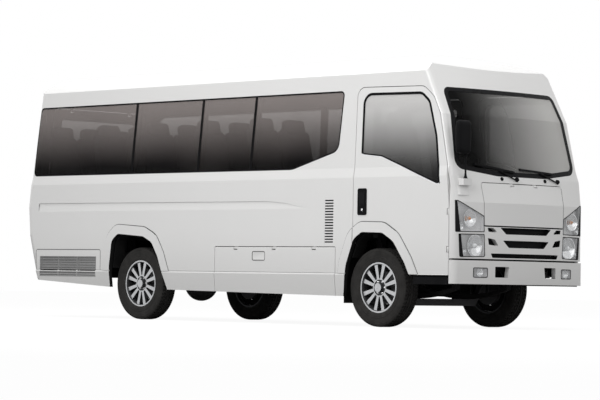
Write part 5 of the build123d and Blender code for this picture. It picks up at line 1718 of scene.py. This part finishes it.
@dataclass
class HingeCovers(Assembly):
    """Painted barrels over the hinges, turned about the pins so that they clear every pose."""

    radius: float = 0.0118
    half: float = 0.025
    rounding: float = 0.003
    rounding_share: float = 0.3
    steps: int = 32
    rows: tuple[tuple[str, str, tuple[Point, ...]], ...] = (
        ("service_flap", "X", ((0.175, -0.883, 0.725), (0.721, -0.883, 0.725), (1.275, -0.883, 0.725))),
        ("cab_door_right", "Z", ((3.008, -0.883, 0.72), (3.008, -0.883, 1.06))),
        ("cab_door_left", "Z", ((3.008, 0.883, 0.72), (3.008, 0.883, 1.06))),
        ("passenger_door", "Z", ((1.558, 0.883, 0.64), (1.558, 0.883, 1.25))),
        ("front_lid", "Y", ((3.1032, -0.16, 1.318), (3.1032, 0.16, 1.318))),
        ("hatch", "Y", ((-3.0335, -0.4, 2.2016), (-3.0335, 0.4, 2.2016))),
    )

    def build(self) -> None:
        """Builds the barrels of every hinge."""
        turns = {
            "X": Matrix.Identity(4),
            "Y": Side.LEFT.turn,
            "Z": Matrix.Rotation(math.radians(90.0), 4, "Y"),
        }
        part = self.rounding * self.rounding_share
        end = [
            (self.half, 0.0), (self.half, self.radius - self.rounding),
            (self.half - part, self.radius - part), (self.half - self.rounding, self.radius),
        ]
        profile = [(-along, radius) for along, radius in end] + end[::-1]
        for name, axis, places in self.rows:
            mesh = bmesh.new()
            for place in places:
                turned(mesh, profile, self.steps, Matrix.Translation(place) @ turns[axis])
            self.shop.piece(
                f"hinge_covers_{name}", mesh, PAINT, "body", Slot.PAINT, Smoothing.TURNED
            )


@dataclass
class Seams(Assembly):
    """Painted shadow lines round the wheel arches' flares, and a dark seam round the tail's vent panel."""

    width: float = 0.0075
    depth: float = 0.0008
    skin: float = 0.895
    proud: float = 0.9015
    skin_cosine: float = 0.8
    arch_level: float = 0.55
    arch_foot: float = 0.4985
    axles: Span = (-1.325, 2.075)
    twin_digits: int = 4
    panel_cosine: float = 0.9
    panel_margin: float = 0.009
    panel_depth: float = 0.0003
    ledge: Span = (0.465, 0.5)

    def build(self) -> None:
        """Builds the painted shadow lines of both sides and the vent panel's seam."""
        for side in Side:
            self._arch(f"side_{side.word}", "body", side)
            self._arch(f"cab_door_{side.word}", f"cab_door_{side.word}", side)
        self._panel()

    def _flat(self, vert: Vert) -> Span:
        """A vertex as seen from the side."""
        return round(vert.co.x, self.twin_digits), round(vert.co.z, self.twin_digits)

    def _arch(self, node: str, body: str, side: Side) -> None:
        """Adds a dark strip of painted shadow where the arches' flares stand out of a panel's skin.

        Args:
            node: the panel.
            body: the body that the panel is on.
            side: the side of the bus.
        """
        mesh = self.shop.copy(node, facing(side.out, self.skin_cosine))
        twins = {self._flat(vert) for vert in mesh.verts if abs(vert.co.y) > self.proud}
        wanted = set()
        for edge in mesh.edges:
            feet = [vert for vert in edge.verts if abs(abs(vert.co.y) - self.skin) < self.depth]
            paired = [vert for vert in feet if self._flat(vert) in twins]
            if not edge.is_boundary or len(feet) < 2 or not paired:
                continue
            low, high = sorted(vert.co.z for vert in feet)
            if high > self.arch_foot and (len(paired) == 2 or low < self.arch_foot):
                wanted.add(edge)
        bmesh.ops.delete(mesh, geom=[edge for edge in mesh.edges if edge not in wanted], context="EDGES")
        bmesh.ops.delete(mesh, geom=[vert for vert in mesh.verts if not vert.link_edges], context="VERTS")
        grown = bmesh.ops.extrude_edge_only(mesh, edges=mesh.edges[:])["geom"]
        for vert in [item for item in grown if isinstance(item, Vert)]:
            axle = min(self.axles, key=lambda x: abs(x - vert.co.x))
            vert.co += Vector((vert.co.x - axle, 0.0, vert.co.z - self.arch_level)).normalized() * self.width
        thickened(mesh, side.out * self.depth)
        # The strip is painted shadow along the foot of the flare's step.
        self.shop.piece(f"arch_seam_{node}", mesh, SEAM_AND_SHADE, body, Slot.PLASTIC)

    def _panel(self) -> None:
        """Adds the seam round the vent panel, apart from its ledge."""
        mesh = self.shop.copy("vent_panel", facing(Side.RIGHT.out, self.panel_cosine))
        low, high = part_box("vent_panel")
        margin = self.panel_margin
        kept = []
        for face in rim(mesh, self.width, even=False):
            middle = face.calc_center_median()
            on_end = middle.x < low.x + margin or middle.x > high.x - margin
            levels = [vert.co.z for vert in face.verts]
            clear = max(levels) < self.ledge[0] + margin or min(levels) > self.ledge[1] - margin
            if clear and (on_end or middle.z > high.z - margin):
                kept.append(face)
        only(mesh, kept)
        thickened(mesh, Side.RIGHT.out * self.panel_depth)
        self.shop.piece("vent_panel_seam", mesh, SEAM_AND_SHADE, "body", Slot.PLASTIC)


@dataclass
class Backings(Assembly):
    """Dark parts behind openings: shields in the wheels, plates behind the tow holes, the flap's seal."""

    shield: Profile = (
        (0.0, 0.1515), (0.004, 0.158), (0.004, 0.196), (0.012, 0.2125), (0.016, 0.2125), (0.008, 0.194),
        (0.008, 0.1515), (0.0, 0.1515),
    )
    shield_steps: int = 48
    shield_out: float = 0.705
    stay_low: Point = (2.985, 0.19, 0.452)
    stay_high: Point = (2.990, 0.47, 0.600)
    seal_low: Point = (-0.10, -0.8495, 0.700)
    seal_high: Point = (1.54, -0.8455, 0.775)
    edge: float = 0.0015

    def build(self) -> None:
        """Builds shields, plates and seal."""
        for side in Side:
            for end in ENDS:
                self._shield(f"{end}_{side.word}", side)
        low, high = Vector(self.stay_low), Vector(self.stay_high)
        mesh = bmesh.new()
        for side in Side:
            slat(mesh, high - low, side.mirrored((low + high) / 2), self.edge)
        self.shop.piece("tow_hole_plates", mesh, UNDERSEAL, "body", Slot.PLASTIC)
        low, high = Vector(self.seal_low), Vector(self.seal_high)
        mesh = bmesh.new()
        slat(mesh, high - low, (low + high) / 2, self.edge)
        self.shop.piece("flap_seal", mesh, RUBBER, "body", Slot.PLASTIC)

    def _shield(self, corner: str, side: Side) -> None:
        """Adds the dust shield inside one wheel.

        Args:
            corner: the wheel's corner.
            side: the side of the bus.
        """
        centre = middle_of(f"tyre_{corner}")
        mesh = bmesh.new()
        place = Matrix.Translation(side.mirrored((centre.x, self.shield_out, centre.z)))
        turned(mesh, self.shield, self.shield_steps, place @ side.turn)
        self.shop.piece(
            f"dust_shield_{corner}", mesh, UNDERSEAL, f"wheel_{corner}", Slot.PLASTIC, Smoothing.TURNED
        )


@dataclass
class PlainNodes(Assembly):
    """CAD nodes that keep their shape and only take a finish."""

    finishes: tuple[tuple[Finish, tuple[str, ...]], ...] = (
        (PLASTIC, ("grille_insert", "cab_steps", "dashboard", "steering_wheel", "wipers", "fuel_tank")),
        (UNDERSEAL, ("arch_liners",)),
        (FRAME_STEEL, ("chassis_frame", "leaf_springs", "propeller_shaft")),
        (IRON, ("front_axle", "rear_axle", "knuckle_right", "knuckle_left", "engine_block")),
        (PIPE_STEEL, ("exhaust",)),
        (FLOOR_SHEET, ("floor",)),
        (RED_LENS, ("tail_lamps",)),
    )

    def build(self) -> None:
        """Dresses each node."""
        for finish, nodes in self.finishes:
            for node in nodes:
                self.shop.dress(node, finish)


@dataclass(frozen=True)
class SoftLight:
    """A rectangular lamp over the bus."""

    name: str
    place: Point
    wide: float
    tall: float
    power: float

    def hang(self, aim: Point) -> None:
        """Adds the lamp to the scene.

        Args:
            aim: the point that it looks at.
        """
        data = bpy.data.lights.new(self.name, "AREA")
        data.shape = "RECTANGLE"
        data.size = self.wide
        data.size_y = self.tall
        data.energy = self.power
        lamp = bpy.data.objects.new(self.name, data)
        bpy.context.scene.collection.objects.link(lamp)
        lamp.location = self.place
        lamp.rotation_euler = (Vector(aim) - Vector(self.place)).to_track_quat("-Z", "Y").to_euler()


@dataclass
class Studio:
    """White room, soft lights and the camera of the picture."""

    camera_place: Point = (19.604, -18.535, 0.3933)
    azimuth: float = 46.406
    pitch: float = 1.7705
    roll: float = 0.956
    lens: float = 161.5
    sensor_width: float = 36.0
    far_clip: float = 200.0
    floor_radius: float = 60.0
    floor_segments: int = 96
    floor_glow: float = 0.7
    glow_strength: float = 1.32
    floor_colour: Colour = (0.35, 0.35, 0.35)
    room_colour: Colour = (1.0, 1.0, 1.0)
    room_light: float = 0.55
    lights: tuple[SoftLight, ...] = (
        SoftLight("key_light", (3.0, -9.0, 6.0), 7.0, 4.0, 400.0),
        SoftLight("top_light", (0.0, -1.0, 8.0), 9.0, 5.0, 330.0),
        SoftLight("front_light", (11.0, 1.0, 4.0), 5.0, 4.0, 60.0),
    )
    aim: Point = (0.0, 0.0, 1.2)

    def build(self) -> None:
        """Sets up the floor, the world, the lights and the camera."""
        self._floor()
        self._world()
        for light in self.lights:
            light.hang(self.aim)
        self._camera()
        bpy.context.scene.view_settings.view_transform = "Standard"

    def _seen(self, graph: Graph) -> Wire:
        """Tells which rays see the room.

        Args:
            graph: the world's nodes.

        Returns:
            1 for rays from the camera, or by way of gloss or glass, and 0 for others.
        """
        path = graph.add("ShaderNodeLightPath")
        straight = Wire(graph, path.outputs["Is Camera Ray"])
        mirrored = Wire(graph, path.outputs["Is Glossy Ray"])
        through = Wire(graph, path.outputs["Is Transmission Ray"])
        return graph.math("MINIMUM", straight + mirrored + through, 1.0)

    def _floor(self) -> None:
        """A wide pale floor that keeps a soft shadow."""
        mesh = bmesh.new()
        bmesh.ops.create_circle(
            mesh, cap_ends=True, segments=self.floor_segments, radius=self.floor_radius
        )
        data = bpy.data.meshes.new("studio_floor")
        mesh.to_mesh(data)
        mesh.free()
        floor = bpy.data.objects.new("studio_floor", data)
        bpy.context.scene.collection.objects.link(floor)
        material = bpy.data.materials.new("studio_floor")
        material.use_nodes = True
        graph = Graph(material.node_tree)
        plain = graph.add("ShaderNodeBsdfDiffuse", None, {"Color": (*self.floor_colour, 1.0)})
        glow = graph.add("ShaderNodeEmission", None, {"Strength": self.glow_strength})
        path = graph.add("ShaderNodeLightPath")
        share = Wire(graph, path.outputs["Is Camera Ray"]) * self.floor_glow
        mixed = graph.add(
            "ShaderNodeMixShader", None,
            {0: share, 1: Wire(graph, plain.outputs[0]), 2: Wire(graph, glow.outputs[0])},
        )
        graph.add("ShaderNodeOutputMaterial", None, {"Surface": Wire(graph, mixed.outputs[0])})
        data.materials.append(material)

    def _world(self) -> None:
        """White where it is seen, softer where it only lights."""
        world = bpy.data.worlds.new("studio_room")
        world.use_nodes = True
        bpy.context.scene.world = world
        graph = Graph(world.node_tree)
        strength = self._seen(graph) * (1.0 - self.room_light) + self.room_light
        colour = (*self.room_colour, 1.0)
        glow = graph.add("ShaderNodeBackground", None, {"Color": colour, "Strength": strength})
        graph.add("ShaderNodeOutputWorld", None, {"Surface": Wire(graph, glow.outputs[0])})

    def _camera(self) -> None:
        """Places the camera that was fitted to the picture."""
        turn, tilt, bank = (math.radians(value) for value in (self.azimuth, self.pitch, self.roll))
        flat = math.cos(tilt)
        ahead = Vector((-math.sin(turn) * flat, math.cos(turn) * flat, math.sin(tilt)))
        level = Vector((math.cos(turn), math.sin(turn), 0.0))
        above = level.cross(ahead)
        right = level * math.cos(bank) + above * math.sin(bank)
        up = above * math.cos(bank) - level * math.sin(bank)
        data = bpy.data.cameras.new("studio_camera")
        data.lens = self.lens
        data.sensor_width = self.sensor_width
        data.clip_end = self.far_clip
        camera = bpy.data.objects.new("studio_camera", data)
        bpy.context.scene.collection.objects.link(camera)
        place = Matrix((right, up, -ahead)).transposed().to_4x4()
        place.translation = self.camera_place
        camera.matrix_world = place
        bpy.context.scene.camera = camera


def main() -> None:
    """Loads the frame and builds every sub-assembly."""
    logging.basicConfig(level=logging.INFO, format="%(message)s")
    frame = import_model()
    shop = Workshop(frame)
    BodyPanels(shop).build()
    Glazing(shop).build()
    for side in Side:
        for end in ENDS:
            Wheel(shop, f"{end}_{side.word}", side).build()
        DoorHandle(shop, f"handle_cab_{side.word}", f"cab_door_{side.word}", side).build()
    DoorHandle(shop, "handle_passenger", "passenger_door", Side.LEFT).build()
    FrontLamps(shop).build()
    FrontTrim(shop).build()
    Mirror(shop).build()
    Vents(shop).build()
    WindowPosts(shop).build()
    HingeCovers(shop).build()
    Seams(shop).build()
    Backings(shop).build()
    Seats(shop).build()
    PlainNodes(shop).build()
    Studio().build()


if __name__ == "__main__":
    main()
